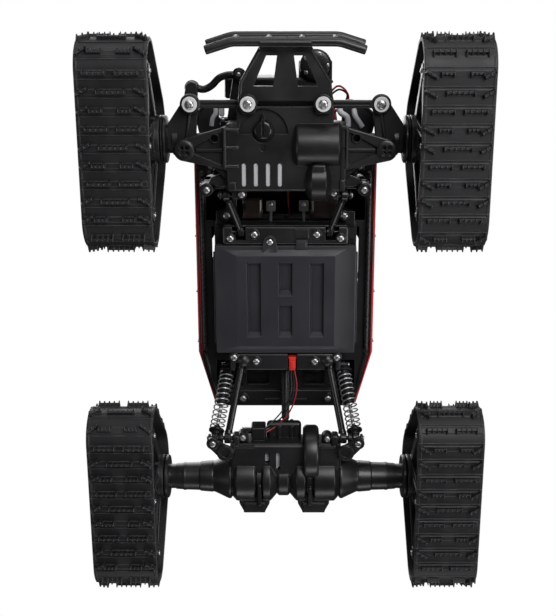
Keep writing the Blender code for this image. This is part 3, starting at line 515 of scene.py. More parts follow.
def rod_z(x, y, z0, z1, radius, sides=40, rim=0.4):
    return rod((x, y, z0), (x, y, z1), radius, sides, rim)


def ring(origin, direction, width, radius, bore, rim=0.5, sides=48):
    """An eye with both rims chamfered."""
    return turned([
        (0, bore), (0, radius - rim), (rim, radius),
        (width - rim, radius), (width, radius - rim), (width, bore),
    ], origin, direction, sides)


def smooth_line(points, steps):
    """A Catmull-Rom curve through points."""
    points = [Vector(p) for p in points]
    line = []
    for k in range(len(points) - 1):
        before, start, end = points[max(k - 1, 0)], points[k], points[k + 1]
        after = points[min(k + 2, len(points) - 1)]
        for j in range(steps):
            t = j / steps
            line.append(0.5 * (
                (2 * start) + (end - before) * t
                + (2 * before - 5 * start + 4 * end - after) * t * t
                + (3 * start - before - 3 * end + after) * t ** 3
            ))
    line.append(points[-1])
    return line


def pipe(points, radius, sides=14, steps=6, smooth=True, caps=True):
    """A tube along a line; radius may be a function of the fraction run, if caps is off."""
    line = smooth_line(points, steps) if smooth else [Vector(p) for p in points]
    mesh = bmesh.new()
    heading = (line[1] - line[0]).normalized()
    across = heading.orthogonal().normalized()
    rings = []
    for k, point in enumerate(line):
        new = (line[min(k + 1, len(line) - 1)] - line[max(k - 1, 0)]).normalized()
        across = (heading.rotation_difference(new) @ across).normalized()
        heading = new
        other = heading.cross(across)
        size = radius(k / (len(line) - 1)) if callable(radius) else radius
        angles = [2 * math.pi * j / sides for j in range(sides)]
        rings.append([
            mesh.verts.new(point + (across * math.cos(a) + other * math.sin(a)) * size)
            for a in angles
        ])
    for low, high in zip(rings, rings[1:]):
        for j in range(sides):
            i = (j + 1) % sides
            mesh.faces.new((low[j], low[i], high[i], high[j]))
    mesh.faces.new(rings[0])
    mesh.faces.new(rings[-1][::-1])
    bmesh.ops.recalc_face_normals(mesh, faces=mesh.faces[:])
    if caps:
        edges = [e for e in mesh.edges if e.calc_face_angle(0) > math.radians(50)]
        bmesh.ops.bevel(
            mesh, geom=edges, offset=radius * 0.25, segments=2, affect="EDGES", profile=0.5)
    return shape(mesh)


# ------------------------------------------------------------------ working on shapes
def drop(*objs):
    for obj in objs:
        data = obj.data
        bpy.data.objects.remove(obj, do_unlink=True)
        bpy.data.meshes.remove(data)


def combine(base, adds=(), cuts=()):
    """Unions, then differences, worked out into one mesh object; the sources go."""
    tools = [(obj, "UNION") for obj in adds] + [(obj, "DIFFERENCE") for obj in cuts]
    for tool, operation in tools:
        mod = base.modifiers.new(operation.lower(), "BOOLEAN")
        mod.operation = operation
        mod.solver = "MANIFOLD"
        mod.object = tool
    bpy.context.view_layer.update()
    evaluated = base.evaluated_get(bpy.context.evaluated_depsgraph_get())
    data = bpy.data.meshes.new_from_object(evaluated)
    drop(base, *[tool for tool, _ in tools])
    mesh = bmesh.new()
    mesh.from_mesh(data)
    bpy.data.meshes.remove(data)
    bmesh.ops.remove_doubles(mesh, verts=mesh.verts[:], dist=2e-4)
    bmesh.ops.dissolve_degenerate(mesh, dist=2e-4, edges=mesh.edges[:])
    return shape(mesh, recalc=False)


def joined(objs):
    """Several closed shapes kept in one mesh; the sources go."""
    mesh = bmesh.new()
    for obj in objs:
        mesh.from_mesh(obj.data)
        drop(obj)
    return shape(mesh, recalc=False)


def moved(obj, matrix):
    """A transformed copy; the source stays."""
    data = obj.data.copy()
    data.transform(matrix)
    copy = bpy.data.objects.new("shape", data)
    shop.objects.link(copy)
    return copy


def finish(name, obj, material, body=None, stands_for=None, angle=32.0, flat=True):
    """Scales a finished shape to metres, files it and lets it ride on its body."""
    obj.data.transform(Matrix.Scale(MM, 4))
    obj.name = name
    obj.data.name = name
    obj.data.materials.clear()
    obj.data.materials.append(material)
    obj.data.shade_smooth()
    obj.data.set_sharp_from_angle(angle=math.radians(angle))
    if flat:
        mod = obj.modifiers.new("flat_faces", "WEIGHTED_NORMAL")
        mod.keep_sharp = True
    shop.objects.unlink(obj)
    looks.objects.link(obj)
    if body:
        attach(obj, body)
    if stands_for:
        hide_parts(stands_for)
    return obj


def finish_wire(name, obj, material, body=None, stands_for=None):
    """Finishes a thin tube, which is smooth all round."""
    return finish(name, obj, material, body, stands_for, angle=60.0, flat=False)


# ------------------------------------------------------------------ fasteners
def cross_head(radius, height):
    """A domed cross-recess screw head standing on z = 0, pointing along +Z."""
    head = turned([
        (-1.2, 0), (-1.2, radius * 0.55), (0, radius * 0.56), (0, radius * 0.97),
        (height * 0.3, radius), (height * 0.6, radius * 0.93), (height * 0.86, radius * 0.74),
        (height * 0.97, radius * 0.5), (height, 0),
    ], (0, 0, 0), Z_AXIS, 28)
    long, wide, low, high = radius * 0.46, radius * 0.105, height * 0.5, height * 2
    point = [(height * 0.35, 0), (height * 1.5, radius * 0.24), (height * 1.5, 0)]
    return combine(head, cuts=[
        block(-long, long, -wide, wide, low, high),
        block(-wide, wide, -long, long, low, high),
        turned(point, (0, 0, 0), Z_AXIS, 12),
    ])


SCREW = cross_head(2.5, 1.7)
SMALL = cross_head(1.7, 1.1)
WASHER = turned(
    [(0, 1.4), (0, 4.75), (0.2, 4.95), (0.8, 4.95), (1.0, 4.75), (1.0, 1.4)],
    (0, 0, 0), Z_AXIS, 48)
BIG = cross_head(3.1, 1.9)
screws = {}  # copies of the heads, by body
washers = {}


def aimed(x, y, z, direction, spin=0.0):
    """Carries a shape standing on z = 0 to a place, pointing along a direction."""
    turn = Vector(direction).normalized().to_track_quat("Z", "Y").to_matrix().to_4x4()
    return Matrix.Translation((x, y, z)) @ turn @ Matrix.Rotation(spin, 4, "Z")


def seat(x, y, z, direction):
    """A screw's place, its recess turned by an amount that varies from place to place."""
    return aimed(x, y, z, direction, spin=(x * 0.37 + y * 0.73) % 3.1)


def screw(body, x, y, z, head=SCREW, direction=DOWN):
    screws.setdefault(body, []).append(moved(head, seat(x, y, z, direction)))


def washer_screw(body, x, y, z):
    base = seat(x, y, z, DOWN)
    washers.setdefault(body, []).append(moved(WASHER, base))
    screws.setdefault(body, []).append(moved(BIG, base @ Matrix.Translation((0, 0, 0.9))))


# ------------------------------------------------------------------ tread belts
class BeltPath:
    """Arc length along the belt's inner side, giving a point and the outward normal in (y, z)."""

    def __init__(self, circles, samples=1440):
        self.points, self.normals = [], []
        for k in range(samples):
            angle = 2 * math.pi * (k + 0.5) / samples - math.pi / 2
            point, normal = touch(circles, angle)
            if self.points and math.dist(point, self.points[-1]) < 1e-4:
                continue
            self.points.append(point)
            self.normals.append(normal)
        self.lengths = [0.0]
        for k, point in enumerate(self.points):
            step = math.dist(point, self.points[(k + 1) % len(self.points)])
            self.lengths.append(self.lengths[-1] + step)
        self.total = self.lengths[-1]

    def place(self, x, run, height):
        """The point at x across the belt, run along it and height above its inner side."""
        run %= self.total
        count = len(self.points)
        i = min(bisect_right(self.lengths, run) - 1, count - 1)
        j = (i + 1) % count
        (y0, z0), (y1, z1) = self.points[i], self.points[j]
        (ny0, nz0), (ny1, nz1) = self.normals[i], self.normals[j]
        part = (run - self.lengths[i]) / max(1e-9, self.lengths[i + 1] - self.lengths[i])
        ny, nz = ny0 + part * (ny1 - ny0), nz0 + part * (nz1 - nz0)
        size = math.hypot(ny, nz)
        y, z = y0 + part * (y1 - y0), z0 + part * (z1 - z0)
        return Vector((x, y + ny / size * height, z + nz / size * height))


PATH = BeltPath(WHEELS)
# bars across the belt in each of three kinds of row: ends as fractions of its width, and teeth
ROW_BARS = (
    ((0.29, 0.70, 6),),
    ((0.18, 0.38, 4), (0.58, 0.78, 4)),
    ((0.11, 0.445, 5), (0.555, 0.89, 5)),
)
SIDE_BAR_HALF, SIDE_BAR_TEETH, SIDE_BAR_TURN = 4.3, 3, 0.50


def lump(mesh, x0, x1, run0, run1, low, high, top, turn=0.0, bevel=0.16):
    """A lug across, along and out from the belt, turned about its own middle.

    top holds how far its outer face is drawn in at x0, x1, run0 and run1.
    """
    mid_x, mid_run = (x0 + x1) / 2, (run0 + run1) / 2
    cos, sin = math.cos(turn), math.sin(turn)
    part = bmesh.new()
    bmesh.ops.create_cube(part, size=1.0)
    for v in part.verts:
        inset = top if v.co.z > 0 else (0, 0, 0, 0)
        x = x0 + inset[0] if v.co.x < 0 else x1 - inset[1]
        run = run0 + inset[2] if v.co.y < 0 else run1 - inset[3]
        v.co = Vector((x - mid_x, run - mid_run, high if v.co.z > 0 else low))
    if bevel:
        edges = [e for e in part.edges if max(v.co.z for v in e.verts) > (low + high) / 2]
        bmesh.ops.bevel(
            part, geom=edges, offset=bevel, segments=1, affect="EDGES", profile=0.5,
            clamp_overlap=True)
    made = {}
    for v in part.verts:
        x, run = v.co.x, v.co.y
        made[v] = mesh.verts.new(PATH.place(
            mid_x + cos * x - sin * run, mid_run + sin * x + cos * run, v.co.z))
    for f in part.faces:
        mesh.faces.new([made[v] for v in f.verts])
    part.free()


def cross_bar(mesh, x0, x1, run, teeth):
    """A low wall across the belt with pointed teeth along one side, the end ones longest."""
    lump(mesh, x0, x1, run - 1.1, run + 1.1, 2.2, BELT_T + 2.55, (0.25, 0.25, 0.4, 0.4))
    for k in range(teeth):
        x = x0 + 0.75 + (x1 - x0 - 1.5) * k / (teeth - 1)
        reach, half, short = (2.7, 0.62, 0.0) if k in (0, teeth - 1) else (1.7, 0.85, 0.25)
        lump(mesh, x - half, x + half, run - reach, run + 1.15, 2.3, BELT_T + LUG_H - short,
             (half * 0.6, half * 0.6, reach * 0.62, 0.75))


def side_bar(mesh, middle, run, turn):
    """A slanted toothed wall near the belt's edge."""
    half = SIDE_BAR_HALF
    cos, sin = math.cos(turn), math.sin(turn)
    lump(mesh, middle - half, middle + half, run - 1.15, run + 1.15, 2.2, BELT_T + 2.5,
         (0.35, 0.35, 0.45, 0.45), turn)
    for k in range(SIDE_BAR_TEETH):
        offset = -half + 0.8 + (2 * half - 1.6) * k / (SIDE_BAR_TEETH - 1)
        x, tooth_run = middle + cos * offset, run + sin * offset
        lump(mesh, x - 0.85, x + 0.85, tooth_run - 1.5, tooth_run + 1.2,
             2.3, BELT_T + LUG_H - 0.2, (0.5, 0.5, 0.9, 0.7), turn)


def belt():
    mesh = bmesh.new()
    half = BELT_W / 2
    # x across and height above the inner side
    profile = [
        (-half, 0.25), (-half, 2.0), (-half + 0.25, 2.4), (-half + 0.7, BELT_T),
        (-half + 1.9, BELT_T), (-half + 2.3, 2.15), (half - 2.3, 2.15), (half - 1.9, BELT_T),
        (half - 0.7, BELT_T), (half - 0.25, 2.4), (half, 2.0), (half, 0.25),
        (half - 0.25, 0.05), (-half + 0.25, 0.05),
    ]
    steps, count = 300, len(profile)
    rings = [
        [mesh.verts.new(PATH.place(x, PATH.total * k / steps, height)) for x, height in profile]
        for k in range(steps)
    ]
    for k in range(steps):
        here, there = rings[k], rings[(k + 1) % steps]
        for j in range(count):
            i = (j + 1) % count
            mesh.faces.new((here[j], there[j], there[i], here[i]))

    def across(fraction):
        return -half + BELT_W * fraction

    pitch = PATH.total / ROWS
    for row in range(ROWS):
        run = -46.0 + row * pitch
        kind = row % 3
        # a raised pad under the bars and a thin cross rib between rows
        lump(mesh, -half + 2.1, half - 2.1, run - 2.3, run + 2.0, 1.9, BELT_T,
             (0.1, 0.1, 0.7, 0.7), bevel=0.0)
        lump(mesh, -half + 0.1, half - 0.1, run + 3.1, run + 3.7, 2.0, 2.75,
             (0.1, 0.1, 0.15, 0.15), bevel=0.0)
        for start, end, teeth in ROW_BARS[kind]:
            cross_bar(mesh, across(start), across(end), run, teeth)
        if kind != 2:
            side_bar(mesh, across(0.1), run - 0.6, -SIDE_BAR_TURN)
            side_bar(mesh, across(0.9), run - 0.6, SIDE_BAR_TURN)
    return shape(mesh)


# ------------------------------------------------------------------ track unit parts
FRAME_PINS = ((-GUIDE_Y, GUIDE_Z), (GUIDE_Y, GUIDE_Z), (0, ROLLER_Z))


def track_frame():
    """Two windowed side plates with ribs, bosses, hub rings and cross pins."""
    outline = hull((
        (0, HUB_Z, 14), (-GUIDE_Y, GUIDE_Z, 7), (GUIDE_Y, GUIDE_Z, 7), (0, ROLLER_Z, 5)), 96)
    windows = [circle(0, HUB_Z, 9.6, 48)]
    for s in (-1, 1):
        windows.append(hull(flip(s, ((15.5, 45, 2.5), (34.5, 30.5, 2.5), (12, 25.5, 2.5))), 48))
    windows.append(hull(((-7, 21.5, 1.6), (7, 21.5, 1.6), (0, 33, 1.6)), 36))
    ribs = (  # (y, z) ends
        ((13.5, HUB_Z - 6), (41, 27.5)),
        ((41, 21.2), (5, 13.4)),
        ((7.5, HUB_Z - 12.5), (4.6, 18.0)),
    )
    parts = []
    for x0, x1, out in ((17.5, 20.2, 1), (-20.2, -17.5, -1)):
        cuts = [prism(window, x0 - 1, x1 + 1, axis="X") for window in windows]
        parts.append(combine(prism(outline, x0, x1, 0.5, axis="X"), cuts=cuts))
        face = x1 if out > 0 else x0
        for (y, z), radius in zip(FRAME_PINS, (4.6, 4.6, 3.6)):
            parts.append(rod_x(face - out * 0.4, face + out * 1.1, y, z, radius, 32, 0.35))
        for s in (-1, 1):
            for rib in ribs:
                line = [(face, y, z) for y, z in flip(s, rib)]
                parts.append(pipe(line, 0.75, sides=10, smooth=False))
    parts.append(turned(
        [(20.0, 9.7), (20.0, 16.0), (23.2, 16.0), (23.8, 15.4), (23.8, 9.7)],
        (0, 0, HUB_Z), sides=64))
    parts.append(turned(
        [(-20.9, 9.7), (-20.9, 12.8), (-20.5, 13.2), (-20.0, 13.2), (-20.0, 9.7)],
        (0, 0, HUB_Z), sides=64))
    for (y, z), radius in zip(FRAME_PINS, (2.4, 2.4, 1.9)):
        parts.append(rod_x(-18, 18, y, z, radius, 24, 0))
    return joined(parts)


def sprocket():
    """Two toothed discs on a drum and a stepped hub."""
    tooth = ((-0.15, 30.4), (-0.11, 31.6), (-0.07, 32.5), (0.07, 32.5), (0.11, 31.6), (0.15, 30.4))
    outline = []
    for k in range(12):
        a = 2 * math.pi * k / 12
        for turn, radius in tooth:
            outline.append((radius * math.cos(a + turn), HUB_Z + radius * math.sin(a + turn)))
    parts = []
    for x0, x1 in ((-13, -9.5), (9.5, 13)):
        cuts = []
        for k in range(6):
            a = 2 * math.pi * (k + 0.5) / 6
            window = [
                (radius * math.cos(a + turn), HUB_Z + radius * math.sin(a + turn), 1.4)
                for radius, turn in ((14.5, 0.0), (25.5, 0.34), (25.5, -0.34))
            ]
            cuts.append(prism(hull(window, 30), x0 - 1, x1 + 1, axis="X"))
        parts.append(combine(prism(outline, x0, x1, 0.4, axis="X"), cuts=cuts))
    for inner, outer, sides in ((27.4, 29.6, 96), (9.5, 11.8, 48)):
        sleeve = [(-10, inner), (-10, outer), (10, outer), (10, inner)]
        parts.append(turned(sleeve, (0, 0, HUB_Z), sides=sides))
    # x0, x1, radius, sides, rim
    for x0, x1, *rest in (
        (12.5, 30, 3.0, 24, 0.2), (-12.5, -20.6, 9.0, 48, 0.7), (-12.9, 13.0, 10.0, 48, 0.3),
    ):
        parts.append(rod_x(x0, x1, 0, HUB_Z, *rest))
    return joined(parts)


def guide_wheel():
    """A spoked wheel: rim, web with round windows, hub and slanted ribs."""
    y, z = -GUIDE_Y, GUIDE_Z
    rim = turned([
        (-15.5, 15.2), (-15.5, 17.3), (-15.1, 17.7), (-12.2, 17.7), (-11.6, 16.9), (11.6, 16.9),
        (12.2, 17.7), (15.1, 17.7), (15.5, 17.3), (15.5, 15.2), (14.6, 14.6), (3, 14.2),
        (-3, 14.2), (-14.6, 14.6),
    ], (0, y, z), sides=72)
    web = turned([(-2.2, 4), (-2.2, 15.0), (2.2, 15.0), (2.2, 4)], (0, y, z), sides=72)
    web = combine(web, cuts=[
        rod_x(-6, 6, hole_y, hole_z, 2.9, 28, 0) for hole_y, hole_z in circle(y, z, 9.6, 6)
    ])
    hub = turned([
        (-14.6, 2.9), (-14.6, 4.6), (-13.9, 5.3), (-4, 5.6), (4, 5.6), (13.9, 5.3), (14.6, 4.6),
        (14.6, 2.9),
    ], (0, y, z), sides=48)
    ribs = []
    for k in range(6):
        a = 2 * math.pi * (k + 0.5) / 6
        cos, sin = math.cos(a), math.sin(a)
        for side in (-1, 1):
            ribs.append(pipe([
                (side * 2.4, y + 5 * cos, z + 5 * sin),
                (side * 5.4, y + 14.6 * cos, z + 14.6 * sin),
            ], 0.8, sides=8, smooth=False, caps=False))
    return joined([rim, web, hub, *ribs])


def road_roller():
    return turned([
        (-15.5, 2.3), (-15.5, 6.9), (-14.9, 7.7), (-10.5, 7.7), (-9.8, 6.4), (9.8, 6.4),
        (10.5, 7.7), (14.9, 7.7), (15.5, 6.9), (15.5, 2.3),
    ], (0, 0, ROLLER_Z), sides=48)


def bearing(x, bore, radius):
    """A small shielded ball bearing in a guide wheel."""
    return turned([
        (-0.7, bore), (-0.7, bore + 0.7), (-0.35, bore + 0.9), (-0.35, radius - 0.9),
        (-0.7, radius - 0.7), (-0.7, radius), (0.7, radius), (0.7, bore),
    ], (x, -GUIDE_Y, GUIDE_Z))


def hub_nut():
    nut = prism(circle(0, HUB_Z, 4.2, 6), -22.6, -20.5, 0.35, axis="X")
    return joined([nut, rod_x(-20.6, -23.8, 0, HUB_Z, 2.0, 24)])


def pin_screws():
    return joined([
        moved(SMALL, aimed(side * 21.3, y, z, (side, 0, 0)))
        for side in (1, -1) for y, z in FRAME_PINS
    ])


# ------------------------------------------------------------------ the four track units
HALF_TURN = Matrix.Rotation(math.pi, 4, "Z")
CORNERS = {  # x, y of the unit's middle; a turned unit faces its outer side to the right
    "front_left": (-FRONT_X, -AXLE_Y, False),
    "front_right": (FRONT_X, -AXLE_Y, True),
    "rear_left": (-REAR_X, AXLE_Y, False),
    "rear_right": (REAR_X, AXLE_Y, True),
}
master_belt, master_frame, master_sprocket = belt(), track_frame(), sprocket()
master_guide, master_roller = guide_wheel(), road_roller()
master_nut, master_screws = hub_nut(), pin_screws()
master_bearings = joined([bearing(x, bore=2.5, radius=4.4) for x in (-14.9, 14.9)])


def in_corner(corner_x, corner_y, is_turned):
    turn = HALF_TURN if is_turned else Matrix.Identity(4)
    return Matrix.Translation((corner_x, corner_y, 0)) @ turn


for tag, (x, y, is_turned) in CORNERS.items():
    place = in_corner(x, y, is_turned)
    finish(f"tread_belt_{tag}", moved(master_belt, place), RUBBER, f"track_{tag}",
           f"belt_{tag}", angle=28.0, flat=False)
    # name, shape, material, body, CAD piece
    for name, master, material, body, stands_for in (
        ("side_frame", master_frame, WHEEL, "track", f"track_frame_{tag}"),
        ("drive_sprocket", master_sprocket, WHEEL, "sprocket", f"sprocket_{tag}"),
        ("road_roller", master_roller, WHEEL, "road_wheel", f"road_wheel_{tag}"),
        ("hub_nut", master_nut, STEEL, "sprocket", None),
        ("pin_screws", master_screws, STEEL, "track", None),
    ):
        finish(f"{name}_{tag}", moved(master, place), material, f"{body}_{tag}", stands_for)
    # the master stands at -GUIDE_Y, or at +GUIDE_Y once its unit is turned
    for end, guide_y in (("front", -GUIDE_Y), ("rear", GUIDE_Y)):
        master_y = GUIDE_Y if is_turned else -GUIDE_Y
        place = in_corner(x, y + guide_y - master_y, is_turned)
        body = f"idler_{tag}_{end}"
        finish(f"guide_wheel_{tag}_{end}", moved(master_guide, place), WHEEL, body, body)
        finish(f"wheel_bearings_{tag}_{end}", moved(master_bearings, place), STEEL, body)
drop(master_belt, master_frame, master_sprocket, master_guide, master_roller,
     master_nut, master_screws, master_bearings)


# ------------------------------------------------------------------ front axle housing
FRONT_MOTOR = (-122, 44)  # y, z
FRONT_SLOTS = (-27.4, -19.5, -11.5, -3.6)
FRONT_SHOCK_BOSS = (53.1, -91.4)


def front_arm(side):
    """The arm from the case to the kingpin, with the link and shock lugs."""
    pin_x = side * KX
    hole = (side * 46.6, -126.4)
    # tapered core
    core = prism(flip(side, [
        (37, -134), (37, -96), (46, -104.5), (57, -112), (57, -124), (46, -130.2),
    ]), 42.3, 65.5, 1.2, 3)
    parts = [combine(core, cuts=[rod_z(*hole, 36, 48, 2.5, 28, 0)])]
    # flat sole with a raised border, a middle rib, a hole and an upright rib at its root
    sole = hull(flip(side, ((KX, KY, 7.2), (38.6, -132.2, 1.8), (38.6, -107.2, 1.8))), 96)
    recess = hull(flip(side, ((57.6, KY, 3.2), (42.6, -128.6, 1.4), (42.6, -110.4, 1.4))))
    parts.append(combine(
        prism(sole, 38.0, 42.7, 0.9, 3),
        adds=[side_block(side, 41, 59.5, KY - 0.9, KY + 0.9, 38.2, 42.4, 0.4)],
        cuts=[
            prism(recess, 36, 40.3),
            rod_z(pin_x, KY, 37, 44, 2.8, 28, 0),
            rod_z(*hole, 36, 48, 2.5, 28, 0),
        ],
    ))
    parts.append(side_block(side, 41, 59.0, KY - 0.9, KY + 0.9, 38.5, 42.0, 0.4))
    parts.append(turned(
        [(0, 2.5), (0, 3.0), (0.4, 3.2), (2.4, 3.2), (2.4, 2.5)], (*hole, 38.2), Z_AXIS, 32))
    parts.append(side_block(side, 39.2, 41.2, -133.6, -106.6, 36.2, 42, 0.7, 3))
    # ribs running under the case
    reach = 31.0 if side < 0 else 36.6
    rib = flip(side, [(40.2, 36.2), (40.2, 40), (reach, 40), (reach, 37.8)])
    for y in (-132.0, -120.4, -108.2):
        parts.append(prism(rib, y - 0.9, y + 0.9, 0.3, 1, axis="Y"))
    parts.append(side_block(side, 50.5, 55.5, -126.5, -109.5, 61.2, 73.8, 1.2, 3))
    # upper kingpin plate
    plate = hull(flip(side, ((KX, KY, 7), (54, -112.5, 3.5), (54, -124, 3.5))), 64)
    parts.append(combine(
        prism(plate, 69.3, 74, 1.1, 3), cuts=[rod_z(pin_x, KY, 68.3, 75, 2.8, 28, 0)]))
    # kingpin cap with four openings
    openings = [math.pi / 4 + k * math.pi / 2 for k in range(4)]
    parts.append(combine(
        turned([(0, 0), (0, 5.2), (0.5, 6.4), (2.2, 6.7), (2.2, 0)],
               (pin_x, KY, 36.9), Z_AXIS, 56),
        cuts=[
            rod_z(pin_x + 2.75 * math.cos(a), KY + 2.75 * math.sin(a), 36, 38.4, 1.5, 24, 0)
            for a in openings
        ],
    ))
    # lower link root and pin
    parts.append(side_block(side, 31, 36.3, -93.5, -84.5, 44.5, 55.5, 1.6, 3))
    parts.append(rod_x(side * 36, side * 44.6, *FRONT_LOW, 1.5, 24))
    parts.append(rod_x(side * 43.3, side * 44.8, *FRONT_LOW, 3.0, 32))
    # shock lug
    parts.append(side_block(side, 36, 49.2, -104, -90, 56, 62.5, 1.4, 3))
    parts.append(prism(flip(side, [
        (37, -104), (50, -99.5), (52, -95), (44, -92.5), (37, -93),
    ]), 46.5, 56.5, 1.2, 3))
    boss_x, boss_y = FRONT_SHOCK_BOSS
    parts.append(turned(
        [(0, 1.8), (0, 4.0), (0.5, 4.5), (10.8, 4.5), (11.2, 4.1), (11.2, 1.8)],
        (side * boss_x, boss_y, 44.4), Z_AXIS, 44))
    parts.append(rod_x(side * 48, side * 57.2, *FRONT_SHOCK, 1.5, 24))
    parts.append(rod_x(side * 56.0, side * 57.6, *FRONT_SHOCK, 3.0, 32))
    return parts


def front_case():
    apron = prism([(-32, -147), (31.5, -147), (31.5, -131), (-32, -131)], 38, 41.2, 0.8)
    lugs = [
        prism(hull(((s * BRACKET_X, BRACKET_Y, 6), (s * BRACKET_X, -132, 6)), 48), 38, 41.2, 0.8)
        for s in (-1, 1)
    ]
    fan = []
    for k in range(25):
        a = math.pi + math.pi * k / 24
        fan.append((-14.5 + 16.4 * math.cos(a), -129.0 + 16.4 * math.sin(a)))
    cuts = [
        rod_x(8, 45, *FRONT_MOTOR, 12.6, 48, 0),
        prism(fan, 36, 40.0),
        rod_z(-14.7, -130.6, 36, 40.4, 7.4, 48, 0),
        rod_z(-14.9, -120.2, 36, 38.7, 2.2, 24, 0),
        *[prism(hull(((x, -108.6, 1.5), (x, -96.2, 1.5)), 28), 36, 45.5) for x in FRONT_SLOTS],
    ]
    parts = [
        combine(block(-39.5, 39.5, -136, -91, 38, 66, 2.6, 4), adds=[apron, *lugs], cuts=cuts),
        # raised band round the case
        combine(block(-40.1, 40.1, -136.4, -90.4, 47.6, 49.2, 0.5),
                cuts=[block(-38.5, 38.5, -135, -92, 46, 51)]),
        # motor bulge and the gear bulge behind it
        turned([
            (0, 0), (0, 12.6), (0.9, 14.1), (2.6, 15.0), (28.6, 15.0), (29.8, 14.2),
            (30.6, 12.8), (30.6, 0),
        ], (6, *FRONT_MOTOR), sides=96),
        turned([
            (-3.2, 0), (-3.2, 8.6), (-2.6, 9.8), (-0.4, 12.9), (0.7, 13.6), (10.0, 13.6),
            (11.1, 12.9), (13.3, 9.8), (13.9, 8.6), (13.9, 0),
        ], (16.6, -98, 44), sides=80),
        *blocks(
            (36.3, 39.9, -134.6, -97, 37.2, 60, 0.8, 3), (17.2, 26.7, -110, -100, 32.0, 44, 1.6, 3),
            (-38.4, -33.0, -97.6, -92.6, 37.2, 40, 0.9), (35.6, 39.4, -99.0, -91.6, 36.8, 41, 0.9),
        ),
        *[rod_z(x, y, 43.6, 52, 3.6, 36, 0.6) for x, y in FRONT_BOSSES],
        rod((0.0, -136.5, 44.0), (0.0, -139.5, 44.0), 3.4, 28),
    ]
    return joined(parts + front_arm(-1) + front_arm(1))


finish("front_axle_case", front_case(), BLACK, "front_axle", "front_axle_housing")
finish("slot_inner_bars", joined([
    block(x - 1.5, x + 1.5, -110.4, -94.6, 38.9, 43.0, 0.3) for x in FRONT_SLOTS
]), PALE, "front_axle")
finish("front_motor_can", joined([
    turned([
        (0, 0), (0, 10.6), (1.4, 12.0), (25.4, 12.0), (26.0, 11.2), (26.6, 11.2), (26.6, 0),
    ], (9.2, *FRONT_MOTOR), sides=56),
    rod_x(34.0, 36.0, *FRONT_MOTOR, 4.4, 32, 0.5),
]), CAN, "front_axle", "front_motor")
for x, y in FRONT_BOSSES:
    screw("front_axle", x, y, 43.6)
for side in (-1, 1):
    screw("front_axle", side * FRONT_SHOCK_BOSS[0], FRONT_SHOCK_BOSS[1], 44.6)
    screw("front_axle", side * 57.6, *FRONT_SHOCK, SMALL, (side, 0, 0))
    screw("front_axle", side * 44.8, *FRONT_LOW, SMALL, (side, 0, 0))
    washer_screw("front_axle", side * BRACKET_X, BRACKET_Y, 31.8)

# slotted trim dial with a pointer
finish("trim_dial", combine(
    turned([(0, 0), (0, 4.6), (0.5, 5.6), (1.1, 6.0), (3.2, 6.0), (3.2, 0)],
           (*DIAL, 34.8), Z_AXIS, 56),
    adds=[
        prism(hull(((-14.7, -133, 1.6), (-14.7, -142.2, 0.9)), 28), 35.6, 37.9, 0.4),
        rod_z(*DIAL, 36.8, 39.4, 2.5, 24),
    ],
    cuts=[block(-15.5, -13.9, -138.5, -127.2, 33, 35.9)],
), GLOSSY, "trim_knob", "trim_knob")


# ------------------------------------------------------------------ steering servo and rods
def servo():
    lugs = combine(block(-51.0, 1.0, -136, -118, 83.6, 85.6, 0.6), cuts=[
        rod_z(x, y, 80, 90, 1.6, 20, 0) for x in (-48.6, -1.4) for y in (-131.5, -122.5)
    ])
    return joined([
        *blocks(
            (-45, -5, -137, -117, 74.4, 88.4, 1.2, 3),
            (-44.6, -5.4, -136.6, -117.4, 72.0, 74.1, 0.6),
            (-44.6, -5.4, -136.6, -117.4, 88.7, 90, 0.6),
        ),
        lugs,
        block(-8, 2, -134, -120, 66.3, 76, 1.0),
        rod_z(*HORN, 70.6, 72.4, 5.4, 36, 0.3),
        rod_z(*HORN, 67.5, 72.5, 2.6, 28, 0.2),
    ])


def servo_arm():
    x, y = HORN
    return combine(
        prism(hull(((x, y, 6), (*HORN_TIP, 4.2))), 66.7, 70.4, 0.7),
        adds=[
            rod_z(*HORN_TIP, 60.0, 67.5, 1.7, 24, 0.2),
            rod_z(*HORN_TIP, 59.0, 60.6, 3.2, 32),
        ],
        cuts=[
            rod_z(x, y, 60, 75, 2.9, 28, 0),
            *[rod_z(x + 4 * f, y - 39 * f, 60, 67.5, 1.0, 16, 0) for f in (0.3, 0.5, 0.7)],
        ],
    )


finish("servo_case", servo(), BLACK, "front_axle", "steering_servo")
for x in (-43.0, -7.0):
    for y in (-135, -119):
        screw("front_axle", x, y, 72.0, SMALL)
finish("servo_arm", servo_arm(), BLACK, "servo_horn", "servo_horn")
screw("servo_horn", *HORN, 67.4, SMALL)
screw("servo_horn", *HORN_TIP, 59.0, SMALL)

DRAG_LINE = [
    (-58.9, -157.0, 63), (-54.5, -156.4, 63), (-49.5, -158.8, 63), (-44.5, -163.6, 63),
    (-39.0, -165.6, 63), (-34.6, -165.8, 63),
]
finish("steering_drag_link", joined([
    ring((-DRAG_X, DRAG_Y, 60.9), Z_AXIS, 65.1 - 60.9, 5.0, 2.05),
    ring((*HORN_TIP, 60.9), Z_AXIS, 65.1 - 60.9, 4.6, 2.05),
    pipe(DRAG_LINE, 2.5, sides=20, steps=8),
]), GLOSSY, "drag_link", "drag_link")

